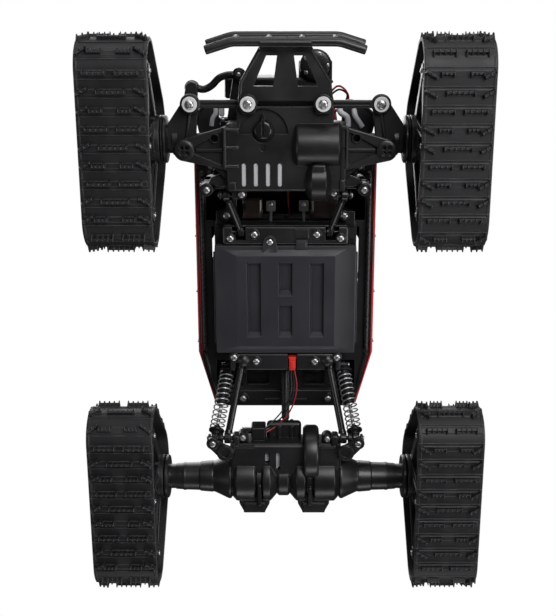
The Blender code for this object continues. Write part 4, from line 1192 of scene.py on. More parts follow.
# tie rod with a groove along its underside near each end
finish("steering_tie_rod", joined([
    combine(block(-59.2, 59.2, -150.7, -145.3, 42.3, 45.7, 0.8, 3), cuts=blocks(
        (-55, -31, -148.7, -147.3, 40, 43.1), (31, 55, -148.7, -147.3, 40, 43.1))),
    ring((-TIE_X, TIE_Y, 41.9), Z_AXIS, 46.1 - 41.9, 6.6, 2.4, 0.7),
    ring((TIE_X, TIE_Y, 41.9), Z_AXIS, 46.1 - 41.9, 6.6, 3.0, 0.7),
]), BLACK, "tie_rod", "tie_rod")


def knuckle(side):
    """A kingpin barrel, the wheel stub and the tie rod arm; the left one has a drag link arm."""
    pin_x, tie_x = side * KX, side * TIE_X
    arm = [(KX, KY, 6), (TIE_X, TIE_Y, 5.4), (75.0, -133.0, 3.5), (77.0, -122, 4)]
    parts = [
        turned([(0, 0), (0, 5.4), (1.0, 6.5), (24.8, 6.5), (25.8, 5.4), (25.8, 0)],
               (pin_x, KY, 43.1), Z_AXIS, 56),
        rod_z(pin_x, KY, 38.4, 73.6, 2.5, 28, 0.3),
        # stub: neck, grooves and the double flange
        turned([
            (0, 3.5), (0, 9.0), (5.6, 9.0), (6.2, 10.6), (9.2, 10.6), (9.8, 9.4), (12.0, 9.4),
            (13.2, 15.2), (13.7, 15.9), (14.9, 15.9), (15.2, 15.2), (15.2, 13.4), (15.6, 13.4),
            (15.6, 15.6), (16.0, 16.0), (16.7, 15.6), (16.7, 9.0), (24.2, 9.0), (24.6, 8.5),
            (24.6, 3.5),
        ], (side * 66.0, -AXLE_Y, HUB_Z), (side, 0, 0), 72),
        prism(hull(flip(side, arm), 96), 46.4, 50.4, 0.8),
        side_block(side, 70, 77.5, -131, -117, 48, 60, 1.2, 3),
        rod_z(tie_x, TIE_Y, 40.2, 47, 2.0, 24, 0.1),
        turned([(0, 0), (0, 3.6), (0.5, 4.8), (1.6, 4.8), (2.0, 4.4), (2.0, 0)],
               (tie_x, TIE_Y, 39.6), Z_AXIS),
        pipe([
            (pin_x + (tie_x - pin_x) * f, KY + (TIE_Y - KY) * f, 46.5) for f in (0.2, 0.5, 0.82)
        ], 1.1, sides=10, smooth=False),
    ]
    if side < 0:
        drag = (side * DRAG_X, DRAG_Y)
        parts += [
            prism(hull(((pin_x, KY, 6), (*drag, 4.2)), 64), 56.4, 60.4, 0.8),
            rod_z(*drag, 60, 66.0, 1.7, 24, 0.2),
            rod_z(*drag, 65.3, 66.4, 3.0, 28, 0.3),
        ]
    return joined(parts)


for side, word in SIDES:
    finish(f"steering_knuckle_{word}", knuckle(side), BLACK, f"knuckle_{word}", f"knuckle_{word}")
    washer_screw(f"knuckle_{word}", side * TIE_X, TIE_Y, 40.2)

# ------------------------------------------------------------------ bumper
TUBES = ((-187.5, 30.0, 3.0), (-191.0, 42.0, 2.9))  # y, z, radius
POST_X = (-31.5, -10.5, 10.5, 31.5)


def bumper_tube(y, z, radius):
    """A cross tube whose ends sweep back."""
    sweep = ((51, 5.2), (40, 1.8), (34.6, 0.3), (28, 0))  # x and how far back of the middle
    line = [(-x, y + back, z) for x, back in sweep] + [(0, y, z)]
    line += [(x, y + back, z) for x, back in sweep[::-1]]
    return pipe(line, radius, sides=28, steps=5)


def bumper():
    plate = prism([
        (-15.4, -187), (15.4, -187), (29.5, -163), (30.8, -149), (28.5, -142.4), (20, -142.4),
        (17.8, -150.5), (-17.8, -150.5), (-20, -142.4), (-28.5, -142.4), (-30.8, -149),
        (-29.5, -163),
    ], 33.6, 37.7, 0.7)
    hook = [  # (y, z) of the lip along the plate's front
        (-188.4, 27.4), (-187.2, 26.0), (-184.6, 26.6), (-180.8, 33.0), (-180.8, 36.0), (-185, 36.0),
    ]
    bracket = combine(
        plate,
        adds=[rod_z(s * BRACKET_X, BRACKET_Y, 32.4, 34.4, 6.2, 48, 0.5) for s in (-1, 1)]
        + [prism(hook, -16.4, 16.4, 0.5, axis="X")],
        cuts=[
            prism([(-12.3, -179), (-5.4, -179), (-8.0, -160), (-20.6, -160)], 30, 40),
            prism([(5.4, -179), (12.3, -179), (20.6, -160), (8.0, -160)], 30, 40),
        ],
    )
    rib = ((14.9, -184.5, 33.8), (28.6, -162.8, 33.8), (29.6, -150.5, 33.8))
    ribs = [pipe(flip(s, rib), 0.85, sides=10, smooth=False) for s in (-1, 1)]
    return joined([bracket, *ribs, *[bumper_tube(*row) for row in TUBES]])


finish("bumper_bracket", bumper(), BLACK, "front_axle", "front_bumper")
finish("bumper_posts", joined(
    [rod((x, *TUBES[0][:2]), (x, *TUBES[1][:2]), 1.7, 20, 0.2) for x in POST_X]
    + [rod((x, -188.6, 33.0), (x, -189.9, 38.6), 2.3, 24, 0.3) for x in POST_X]
), GREY, "front_axle")


# ------------------------------------------------------------------ rear axle housing
REAR_MOTOR = (106, 76)  # y, z
REAR_SHOCK_BOSS = (52.4, 91.6)


def gear_case(x0, x1, radius):
    """A round case across the axle with rolled corners."""
    width = x1 - x0
    return turned([
        (0, 0), (0, radius - 2.2), (0.6, radius - 0.8), (1.8, radius), (width - 1.8, radius),
        (width - 0.6, radius - 0.8), (width, radius - 2.2), (width, 0),
    ], (x0, AXLE_Y, HUB_Z), sides=96)


def gear_barrel(x0, x1, low, high, radius=18.1):
    """A round case with tapered ends; low and high are their (length, end radius)."""
    width = x1 - x0
    (low_length, low_radius), (high_length, high_radius) = low, high
    return turned([
        (0, 0), (0, low_radius - 0.8), (0.5, low_radius), (low_length, radius - 0.35),
        (low_length + 1.0, radius), (width - high_length - 1.0, radius),
        (width - high_length, radius - 0.35), (width - 0.5, high_radius),
        (width, high_radius - 0.8), (width, 0),
    ], (x0, AXLE_Y, HUB_Z), sides=96)


def rear_side(side):
    boss_x, boss_y = REAR_SHOCK_BOSS
    return [
        # cone, tube with two collars, flange and stub
        turned([
            (0, 0), (0, 14.6), (1.0, 16.2), (2.6, 16.4), (10.8, 12.6), (13.0, 11.6),
            (14.2, 11.3), (15.0, 11.6), (23.5, 10.9), (24.3, 10.3), (34, 10.0), (34.8, 10.3),
            (36.0, 10.3), (36.8, 9.8), (41.5, 9.5), (42.5, 9.0), (46.6, 9.0), (46.8, 15.2),
            (47.4, 15.9), (49.0, 15.9), (49.7, 15.2), (49.8, 9.0), (57.2, 9.0), (57.5, 8.4),
            (57.5, 0),
        ], (side * 39, AXLE_Y, HUB_Z), (side, 0, 0), 72),
        # pin of the lower link and shock, with its collars
        rod_x(side * 34, side * 56, *REAR_LOW, 1.5, 24, 0.2),
        rod_x(side * 45.2, side * 48.0, *REAR_LOW, 3.6, 36),
        rod_x(side * 54.2, side * 56, *REAR_LOW, 3.0, 32),
        *side_blocks(
            side, (33, 38.3, 86.8, 97, 44, 54, 1.6, 3), (36.5, 40.0, 92.5, 99.0, 42.5, 52, 0.9)),
        # screw boss on a flat lug, and a ring beside it
        turned([(0, 1.8), (0, 4.0), (0.5, 4.5), (2.6, 4.5), (3.0, 4.1), (3.0, 1.8)],
               (side * boss_x, boss_y, 40.6), Z_AXIS, 44),
        prism(flip(side, [
            (38.5, 96), (50.5, 87.6), (55.2, 95.0), (47.5, 103.2), (38.5, 104),
        ]), 41.4, 43.4, 0.5),
        ring((side * 43.6, 99.0, 40.4), Z_AXIS, 3.2, 6.0, 3.2, 0.6, 44),
    ]


def rear_case():
    box = combine(block(-40, 40, 94, 120, 44, 66, 2.4, 4), cuts=[
        rod_x(-35.5, 6, *REAR_MOTOR, 12.6, 48, 0),
        prism(hull(((-13.3, 101.6, 1.6), (-13.3, 107.2, 1.6)), 28), 42, 50),
        prism(hull(((-5.4, 101.6, 1.6), (-5.4, 112.6, 1.6)), 28), 42, 50),
    ])
    parts = [
        box,
        block(-38.4, 38.4, 93.2, 96.2, 45.2, 60, 0.8),
        gear_barrel(-40.2, -22.0, (4.0, 13.8), (0.5, 17.6)),
        gear_barrel(-16.8, -5.8, (0.5, 17.6), (5.0, 12.6)),
        gear_barrel(2.8, 14.6, (5.0, 12.6), (0.5, 17.6)),
        gear_barrel(20.8, 40.2, (0.5, 17.6), (4.0, 13.8)),
        gear_case(-22.6, -16.2, 14.6),
        gear_case(14.0, 21.4, 14.6),
        gear_case(-6.4, 3.4, 14.2),
        *blocks(
            (-20.6, -17.4, 124, 140.5, 39.6, 50, 0.9, 3), (16.2, 19.4, 126, 140.5, 39.6, 50, 0.9, 3)),
        # tall round gear cover in front of the cases
        turned([
            (0, 0), (0, 17.0), (0.8, 18.6), (2.4, 19.5), (9.0, 19.5), (10.6, 18.6),
            (11.4, 17.0), (11.4, 0),
        ], (12.8, 102.4, 52), sides=96),
        # upper link ears and pin
        *blocks((-6.2, -3.1, 84, 96, 55, 70, 1.0), (3.1, 6.2, 84, 96, 55, 70, 1.0)),
        rod_x(-4, 4, *REAR_UP, 1.5, 24, 0),
        # connector box and hump
        *blocks(
            (-25, -14.5, 83.4, 95, 50.6, 64, 1.2, 3), (-13.8, 11.6, 81.6, 95, 56.5, 63.5, 2.8, 4)),
    ]
    # skids behind the cases
    for x0, x1 in ((-34.0, -11.6), (9.0, 32.2)):
        parts.append(prism([
            (x0, 134), (x1, 134), (x1, 140.6), (x1 - 3.6, 147.6), (x0 + 3.6, 147.6), (x0, 140.6),
        ], 44, 58, 0.9, 3))
        parts.append(block(
            x0 + 2.6, x1 - 2.6, 139.4, 147.9, 42.9, 50, 0.7, 3, top=(0.8, 0.6, 0.4, "low")))
    # ribs under the box and tabs on its sides
    parts += blocks(
        (-39.6, -22.5, 94.6, 96.2, 43.2, 46, 0.5), (25, 39.6, 94.6, 96.2, 43.2, 46, 0.5),
        (-40.6, -38.6, 96, 117, 45.2, 47.2, 0.6), (38.6, 40.6, 96, 117, 45.2, 47.2, 0.6),
    )
    for x, y in REAR_BOSSES:
        parts.append(rod_z(x, y, 47.2, 56, 3.7, 36, 0.7))
        parts.append(block(x - 3.6, x + 3.6, y, 97, 49, 56, 0.8))
    return joined(parts + rear_side(-1) + rear_side(1))


finish("rear_axle_case", rear_case(), BLACK, "rear_axle", "rear_axle_housing")
finish("rear_slot_inner_bars", joined(blocks(
    (-14.8, -11.8, 100.2, 108.6, 47.6, 49.6, 0.3), (-6.9, -3.9, 100.2, 114.0, 47.6, 49.6, 0.3),
)), PALE, "rear_axle")
finish("rear_motor_can", joined([
    turned([
        (0, 0), (0, 10.6), (1.4, 12.1), (37.5, 12.1), (38.5, 11.0), (39.5, 11.0), (39.5, 0),
    ], (5, *REAR_MOTOR), (-1, 0, 0), 56),
    rod_x(-37, -34, *REAR_MOTOR, 4.4, 32),
]), CAN, "rear_axle", "rear_motor")
for x, y in REAR_BOSSES:
    screw("rear_axle", x, y, 47.2)
for side in (-1, 1):
    screw("rear_axle", side * REAR_SHOCK_BOSS[0], REAR_SHOCK_BOSS[1], 40.8)
    screw("rear_axle", side * 56, *REAR_LOW, SMALL, (side, 0, 0))
    screw("rear_axle", side * 57.5, 130.6, 49.0, SMALL, (0, 0.55, -0.83))


# ------------------------------------------------------------------ links
EYE_R = 4.0


def link_shape(start, end, radius, width=4.6):
    """A bar that thickens towards an eye at each end."""
    start, end = Vector(start), Vector(end)
    run = (end - start).normalized()
    parts = [
        ring(pin - Vector((width / 2, 0, 0)), X_AXIS, width, EYE_R, 1.8) for pin in (start, end)
    ]
    line = [
        start + run * 3.4 + (end - start - run * 6.8) * f
        for f in (0.0, 0.06, 0.12, 0.5, 0.88, 0.94, 1.0)
    ]

    def radius_at(f):
        from_end = min(f, 1 - f)
        thin = 0.22 * min(1.0, (from_end - 0.05) / 0.08)
        return radius * (1.22 if from_end < 0.05 else 1.22 - thin)

    parts.append(pipe(line, radius_at, sides=24, caps=False))
    return joined(parts)


def upper_link():
    """The middle link, with a flat strap along it."""
    start, end = (Vector(p) for p in PINS["rear_up"])
    run = (end - start).normalized()
    lift = Vector((0, -run.z, run.y))
    corners = [
        start + run * along + lift * up
        for along, up in ((4.5, -2.1), (49.0, -2.1), (49.0, 2.1), (4.5, 2.1))
    ]
    strap = prism([(p.y, p.z) for p in corners], -2.9, 2.9, 0.8, 3, axis="X")
    return joined([strap, link_shape(start, end, 2.3)])


for side, word in SIDES:
    for end, radius in (("front", 2.6), ("rear", 2.5)):
        obj = link_shape(*flip(side, PINS[f"{end}_low"]), radius)
        finish(f"{end}_lower_arm_{word}", obj, GLOSSY, f"{end}_links", f"{end}_lower_link_{word}")
finish("rear_upper_arm", upper_link(), GLOSSY, "rear_upper_link", "rear_upper_link")


# ------------------------------------------------------------------ shock absorbers
SHOCK_EYE_W = 4.8
SPRING_R, SPRING_WIRE_R = 5.0, 0.52


def coil(top, run, first, last, turns):
    """A spring's wire from first to last along run, its coils closing up at both ends."""
    across = run.orthogonal().normalized()
    other = run.cross(across)
    line = []
    steps = int(turns * 20)
    for k in range(steps + 1):
        f = k / steps
        along = first + (last - first) * (f - 0.02 * math.sin(2 * math.pi * f))
        angle = 2 * math.pi * turns * f
        around = across * math.cos(angle) + other * math.sin(angle)
        line.append(top + run * along + around * SPRING_R)
    return pipe(line, SPRING_WIRE_R, sides=9, smooth=False)


def shock(end, word, side, length):
    """A damper body of the given length, its foot and rod, and the spring between them."""
    top, low = (Vector(p) for p in flip(side, PINS[f"{end}_shock"]))
    run = (low - top).normalized()
    span = (low - top).length
    half_eye = Vector((SHOCK_EYE_W / 2, 0, 0))
    body, shaft = f"{end}_shock_{word}", f"{end}_shock_shaft_{word}"
    cylinder = turned([
        (2.4, 0), (2.4, 3.0), (3.2, 4.1), (4.6, 4.3), (4.9, 5.6), (5.3, 6.2), (6.6, 6.2),
        (7.0, 5.7), (7.1, 3.9), (9.5, 3.6), (9.8, 3.9), (10.6, 3.9), (10.9, 3.6),
        (length - 3.4, 3.6), (length - 3.0, 3.85), (length - 0.6, 3.85), (length, 3.3),
        (length, 1.6), (length - 14, 1.6), (length - 14, 0),
    ], top, run, 48)
    eye = ring(top - half_eye, X_AXIS, SHOCK_EYE_W, EYE_R, 1.8, sides=40)
    finish(f"{end}_damper_body_{word}", joined([cylinder, eye]), BLACK, body,
           f"{end}_shock_body_{word}")
    eye = ring(low - half_eye, X_AXIS, SHOCK_EYE_W, EYE_R, 2.15, sides=40)
    stem = turned([
        (0, 0), (0, 3.4), (1.6, 3.4), (2.2, 5.0), (2.6, 5.6), (3.8, 5.7), (4.1, 5.5), (4.2, 2.6),
        (7.0, 2.2), (7.2, 0),
    ], low - run * 2.6, -run)
    finish(f"{end}_damper_foot_{word}", joined([eye, stem]), GLOSSY, shaft, shaft)
    finish(f"{end}_damper_rod_{word}", rod(top + run * 18.5, low - run * 2.8, 1.3, 20, 0.2),
           STEEL, shaft)
    first, last = 7.8, span - 7.6
    wire = coil(top, run, first, last, turns=11.5 if span > 55 else 10.0)
    obj = finish_wire(
        f"{end}_coil_spring_{word}", wire, SPRING, stands_for=f"{end}_shock_spring_{word}")
    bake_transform(obj)


for side, word in SIDES:
    shock("front", word, side, length=27.0)
    shock("rear", word, side, length=33.0)


# ------------------------------------------------------------------ chassis tub
def tub():
    """An open box with a nose, a tail and pockets for the links."""
    cuts = blocks((-45, 45, -46.5, 27.5, 60, 85.2))
    for side in (-1, 1):
        cuts += side_blocks(
            side, (27.8, 37.5, -70, -53, 60, 74.5), (28.3, 36.5, 33, 50, 60, 74.5))
    cuts += blocks((-3.2, 3.2, 33, 50, 79, 95), (1.5, 8.5, 26, 50, 60, 69.5))
    parts = [combine(
        block(-50, 50, -50, 31, 64.5, 87.7, 2.0, 3),
        adds=blocks(
            (-44, 44, -63, -49.8, 62.5, 80, 1.6, 3), (-40, 40, 30.5, 43.5, 62.5, 80, 1.6, 3),
            (-9, 9, 30.5, 43.5, 76, 93.0, 1.0),
        ),
        cuts=cuts,
    )]
    for side in (-1, 1):
        for x, y, z in (PINS["front_low"][0], PINS["rear_low"][0]):
            parts.append(rod_x(side * (x - 4.6), side * (x + 8.0), y, z, 1.5, 20, 0))
        # domed boss under the rear pocket
        parts.append(turned(
            [(0, 0), (0.15, 1.6), (0.7, 3.2), (1.5, 4.0), (2.4, 4.2), (2.4, 0)],
            (side * 30.3, 36.4, 60.8), Z_AXIS))
    parts.append(rod_x(-4.6, 4.6, *PINS["rear_up"][0][1:], 1.5, 20, 0))
    for x, y in PLATE_SCREWS:
        parts.append(turned(
            [(0, 1.0), (0, 3.3), (0.35, 3.6), (2, 3.6), (2, 1.0)], (x, y, 62.0), Z_AXIS, 36))
    # latch catch and front lip
    parts += blocks(
        (6.2, 16.4, -61.5, -54.6, 61.6, 64, 0.7), (-43, 43, -63.6, -62.2, 64, 79, 0.6))
    # side rails with upright ribs between them
    for side in (-1, 1):
        parts += side_blocks(
            side, (49.2, 51.2, -44, 24, 66.5, 68.5, 0.6), (49.2, 51.2, -44, 24, 80.5, 82.5, 0.6))
        for y in range(-40, 24, 12):
            parts.append(side_block(side, 49.2, 50.9, y - 0.8, y + 0.8, 68, 82, 0.4))
    return joined(parts)


finish("chassis_box", tub(), BLACK, "chassis", "chassis_tub")
for x, y in PLATE_SCREWS:
    screw("chassis", x, y, 62.2)


# ------------------------------------------------------------------ battery cover
COVER_SCREW = (-11, -52.2)


def channel_cut(x0, x1, y0, y1):
    """A cutter for a pressed channel: steep sides and front end, long sloped rear end."""
    return block(x0, x1, y0, y1, 59.0, 62.7, 0.0, top=(1.5, 1.6, 4.2, "high"))


def battery_lid():
    return combine(
        block(-49.6, 49.6, -49.4, 29.8, 62.2, 64.2, 0.7, 3),
        adds=[
            block(-48.2, 48.2, -48.2, 28.8, 59.9, 63.4, 0.5, 3, top=(13.5, 5.8, 4.6, "low")),
            prism(hull(((*COVER_SCREW, 4.4), (-11, -47, 5.5)), 48), 61.0, 62.6, 0.5),
            block(7.2, 15.2, -53.5, -47, 60.9, 62.6, 0.5),
        ],
        cuts=[
            channel_cut(-27.6, -16.9, -37.6, 18.2), channel_cut(-5.3, 5.3, -37.6, -12.3),
            channel_cut(-5.3, 5.3, -6.8, 18.2), channel_cut(16.9, 27.6, -37.6, 18.2),
            block(-43.5, 43.5, -45.0, 25.5, 63.3, 66),
            rod_z(*COVER_SCREW, 60, 61.6, 2.9, 32, 0),
        ],
    )


latch = block(8.3, 14.1, -52.6, -48.6, 60.3, 61.4, 0.4)
finish("battery_lid", joined([battery_lid(), latch]), COVER, "battery_cover", "battery_cover")
screw("battery_cover", *COVER_SCREW, 61.5)

# ------------------------------------------------------------------ battery, board and lead
CELL_X, CELL_Z = (-8.2, 8.2), 75.2

finish("battery_cells", joined([
    *[turned([
        (0, 0), (0, 7.6), (0.9, 8.8), (1.6, 9.0), (64.4, 9.0), (65.1, 8.8), (66, 7.6), (66, 0),
    ], (x, -43, CELL_Z), Y_AXIS, 48) for x in CELL_X],
    block(-8, 8, -42, 22, 68.2, 82.2, 1.5, 3),
]), CELLS, "chassis", "battery_pack")
finish("battery_end_caps", joined([
    turned([(0, 0), (0, 3.4), (0.8, 3.4), (0.8, 6.0), (0.9, 7.0), (1.2, 7.0), (1.2, 0)],
           (x, 24.2, CELL_Z), (0, -1, 0), 36)
    for x in CELL_X
]), STEEL, "chassis")

finish("radio_board", combine(block(-22, 22, -42, -8, 94.4, 96.0, 0.3), cuts=[
    rod_z(x, y, 90, 99, 1.5, 20, 0) for x in (-19.5, 19.5) for y in (-39.5, -10.5)
]), BOARD, "chassis", "receiver_board")
finish("board_chips", joined(blocks(
    (-16, -4, -38, -26, 95.9, 97.8, 0.3), (2, 17, -36, -21, 95.9, 99.0, 0.5),
    (-17, -2, -19, -11, 95.9, 101.5, 0.6), (5, 19, -17, -11, 95.9, 100.5, 0.5),
    *[(-15 + 2 * k, -14.2 + 2 * k, -24.6, -23.0, 95.9, 96.6, 0.1) for k in range(6)],
)), DARK, "chassis")
finish("board_pins", joined(
    [block(-15 + 2 * k, -14.5 + 2 * k, -39.4, -38.0, 95.95, 96.4, 0.05) for k in range(6)]
    + [rod_z(6 + 3 * k, -14, 100, 103, 0.4, 12, 0.1) for k in range(4)]
), BRASS, "chassis")

socket_body = combine(block(2.6, 7.4, 33.4, 42.2, 62.6, 68.0, 0.6, 3), cuts=blocks(
    (3.3, 4.7, 30, 34.6, 63.6, 66.8), (5.3, 6.7, 30, 34.6, 63.6, 66.8)))
finish("lead_plug", joined([socket_body, *blocks(
    (2.2, 7.8, 33.0, 34.2, 62.3, 68.2, 0.3), (3.8, 6.2, 36.5, 41.5, 61.9, 63, 0.3),
    (2.9, 7.1, 42.0, 43.6, 63.2, 67.4, 0.5),
)]), PLUG, "chassis", "power_lead")

# wires from the plug to the rear axle
LEADS = (
    ("motor_wire_red", RED_WIRE, [
        (6.2, 42.8, 65.0), (7.6, 50, 64.0), (8.2, 57, 62.4), (6.6, 66, 61.0), (2.0, 76, 59.6),
        (-6.0, 84, 57.5), (-14.0, 88.2, 54.2), (-17.0, 89.6, 53.0)]),
    ("motor_wire_black", BLACK_WIRE, [
        (4.2, 42.8, 65.0), (4.2, 50, 64.4), (4.4, 58, 62.6), (2.2, 66, 61.2), (-2.6, 74, 59.8),
        (-9.0, 81, 57.8), (-16.0, 85.8, 54.0), (-18.6, 87.2, 53.0)]),
    ("motor_wire_dark", BLACK_WIRE, [
        (5.2, 42.8, 66.2), (6.0, 51, 65.4), (6.2, 58, 64.0), (4.2, 67, 62.4), (-0.4, 76, 60.8),
        (-8.0, 83.6, 58.6), (-15.0, 87.4, 55.4), (-18.0, 88.6, 54.4)]),
)
for name, material, points in LEADS:
    obj = finish_wire(name, pipe(points, 0.5, steps=10), material)
    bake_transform(obj)

# ------------------------------------------------------------------ body floor
FLOOR_OUTLINE = [(-62, -104), (62, -104), (62, 39), (51, 81), (-51, 81), (-62, 39)]
FLOOR_HOLES = (  # x0, x1, y0, y1
    (-57.2, 57.2, -98.5, -62.5), (51.4, 53.4, -58, -16), (-53.6, -51.4, -58, -34),
    (-51.8, -32.5, 44.0, 66), (32.5, 51.8, 44.0, 66),
)
POST = (41.4, -68.8)


def floor_side(side):
    """Shock mounts, ribbed rail, round boss and screw ring on one side of the floor."""
    return [
        side_block(side, 57.4, 60.1, -96, -84, 93, 114, 0.8),
        rod_x(side * 58, side * 45.0, *FRONT_SHOCK_TOP, 1.5, 20, 0.2),
        rod_x(side * 48.2, side * 46.8, *FRONT_SHOCK_TOP, 2.9, 28, 0.3),
        side_block(side, 30.5, 36.4, 43.0, 54.5, 86.5, 97, 0.9),
        rod_x(side * 36, side * 47.5, *REAR_SHOCK_TOP, 1.5, 20, 0.2),
        side_block(side, 58.3, 61.2, -98, 36, 85.4, 89, 0.8, 3),
        *side_blocks(side, *[
            (59.2, 60.4, -96 + 4.0 * k - 1.2, -96 + 4.0 * k + 1.2, 84.6, 86.6, 0.4)
            for k in range(33)
        ]),
        pipe(flip(side, [(60.4, 38, 87.2), (55.3, 60, 87.6), (50.4, 79, 88)]), 1.3, sides=12,
             smooth=False),
        turned([(0, 0), (0.2, 4.5), (1.0, 7.6), (2.2, 9.0), (5.6, 9.2), (5.6, 0)],
               (side * 21.0, 47.0, 87.4), Z_AXIS, 44),
        side_block(side, 13.5, 28.5, 62.6, 64.2, 86.6, 90, 0.6),
        turned([(0, 1.2), (0, 3.8), (0.5, 4.1), (2, 4.1), (2, 1.2)],
               (side * 32.0, 74.0, 85.4), Z_AXIS, 36),
    ]


def body_floor():
    cuts = [
        prism([(x0, y0), (x1, y0), (x1, y1), (x0, y1)], 86, 96) for x0, x1, y0, y1 in FLOOR_HOLES
    ]
    cuts.append(block(-9.5, 9.5, 30, 46, 84, 93.6))
    cuts += [side_block(side, 12.5, 29.5, 48, 62.5, 86, 93.0) for side in (-1, 1)]
    parts = [combine(prism(FLOOR_OUTLINE, 88.0, 94.0, 0.8), cuts=cuts)]
    parts += floor_side(-1) + floor_side(1)
    x, y = POST
    for side in (-1, 1):
        parts.append(rod_z(side * x, y, 72, 90, 3.8, 36, 0.6))
        parts.append(side_block(side, x, x * 1.2, y - 2, y + 8, 80, 90, 1.0))
    # cross bars: two at the rear, one behind the front opening and one at the front
    parts += blocks(
        (-47.5, 47.5, 67.5, 79.6, 86.2, 90, 0.9, 3), (-16, 16, 74.2, 76.6, 85.5, 87, 0.5),
        (-50.5, 50.5, -62.4, -57.6, 86.8, 94, 0.8), (-56, 56, -103, -99, 86.6, 94, 0.9),
    )
    return joined(parts)


finish("body_pan", body_floor(), BLACK, "chassis", "body_floor")
for side in (-1, 1):
    screw("chassis", side * 32.0, 74.0, 85.6)
    screw("chassis", side * POST[0], POST[1], 72.0)
    screw("chassis", side * 45.0, *FRONT_SHOCK_TOP, SMALL, (-side, 0, 0))
    screw("chassis", side * 47.5, *REAR_SHOCK_TOP, SMALL, (side, 0, 0))
    screw("chassis", side * 53.0, -101.0, 86.6, SMALL)

# ------------------------------------------------------------------ body shell
SECTIONS = (
    # y, then half width and height at the sill, at the shoulder and at the top
    (-158, 31, 112, 33, 120, 28, 126),
    (-140, 35, 109, 37, 122, 31, 129.4),
    (-120, 38.5, 106, 40.5, 124, 34, 132),
    (-108, 57, 97.5, 58.4, 125.4, 38, 134.2),
    (-104, 65.0, 94.0, 66.4, 126, 40, 135),
    (-84, 65.2, 93.2, 66.6, 128, 42, 137.6),
    (-62, 65.2, 92.8, 66.6, 130, 44, 140),
    (-34, 65.2, 92.8, 66.6, 132, 45, 184),
    (-6, 65.2, 92.8, 66.6, 132, 45.4, 184),
    (22, 65.2, 92.8, 66.6, 132, 45, 184),
    (38, 65.2, 92.8, 66.3, 130, 44, 141),
    (60, 59.4, 93.6, 60.9, 126, 42, 133.4),
    (80, 53.4, 94.6, 55.2, 122, 40, 126),
)
# (y, z) of the side windows and (x, z) of the screens
SIDE_WINDOWS = [
    round_poly([(-46, 143), (-31.5, 174.5), (-8.5, 175.5), (-8.5, 143)], 4.0),
    round_poly([(-4.0, 143), (-4.0, 175.5), (19.5, 174.5), (29.5, 143)], 4.0),
]
FRONT_SCREEN = round_poly([(-35, 146), (35, 146), (33.5, 175), (-33.5, 175)], 5.0)
REAR_SCREEN = round_poly([(-33, 148), (33, 148), (33.5, 173), (-33.5, 173)], 5.0)


def section(row, inset, down):
    """One closed ring of the body, drawn in by inset and its sill lowered by down."""
    y, sill_x, sill_z, shoulder_x, shoulder_z, top_x, top_z = row
    sill = (sill_x - inset, sill_z - down)
    shoulder = (shoulder_x - inset, shoulder_z - inset * 0.4)
    top = (top_x - inset * 0.8, top_z - inset * 1.3)
    right = [sill] + corner(sill, shoulder, top, 5.0) + corner(shoulder, top, (0, top[1]), 4.0)
    right.append((top[0] * 0.4, top[1] + 0.5))
    left = [(-x, z) for x, z in reversed(right)]
    return [(x, y, z) for x, z in right + left]


def skin(inset=0.0, down=0.0, end=0.0):
    """A solid through all sections, its front and rear drawn in by end."""
    mesh = bmesh.new()
    shifts = [end] + [0.0] * (len(SECTIONS) - 2) + [-end]
    rings = [
        [mesh.verts.new(p) for p in section((row[0] + shift, *row[1:]), inset, down)]
        for row, shift in zip(SECTIONS, shifts)
    ]
    count = len(rings[0])
    for here, there in zip(rings, rings[1:]):
        for k in range(count):
            j = (k + 1) % count
            mesh.faces.new((here[k], here[j], there[j], there[k]))
    mesh.faces.new(rings[0])
    mesh.faces.new(rings[-1][::-1])
    ends_first = sorted(mesh.faces, key=lambda f: len(f.verts) == 4)
    bmesh.ops.triangulate(mesh, faces=ends_first)
    return shape(mesh)


def side_window_cuts():
    return [prism(window, -90, 90, axis="X") for window in SIDE_WINDOWS]


def openings():
    return side_window_cuts() + [
        prism(FRONT_SCREEN, -75, -20, axis="Y"), prism(REAR_SCREEN, 12, 60, axis="Y")]


panels = combine(skin(), cuts=[skin(1.2, 6.0, 1.2), *openings()])
finish("body_panels", panels, RED, "chassis", "body_shell", angle=26.0)
liner = combine(skin(1.45, 5.0, 1.5), cuts=[skin(2.3, 8.0, 2.3), *openings()])
finish("body_liner", liner, DARK, "chassis", angle=26.0)
# the screens are a thin band of the cab's height
glass = combine(skin(1.5, 5.0, 1.6), cuts=[
    skin(2.1, 8.0, 2.2),
    *blocks((-90, 90, -200, 120, 40, 139.6), (-90, 90, -200, 120, 178, 220)),
    *side_window_cuts(),
])
finish("cab_screens", glass, WINDOW, "chassis", angle=26.0)

# ------------------------------------------------------------------ body trim and lamps
SILL_LIP = [(62.4, -103), (65.2, -103.4), (65.3, 38.2), (53.6, 79.5), (51.0, 78.4), (62.4, 37.6)]
LAMP_X, LAMP_Z = 30.2, 118.5

finish("sill_lips", joined([
    prism(flip(side, SILL_LIP), 90.6, 92.9, 0.5) for side in (-1, 1)
]), LIP, "chassis")


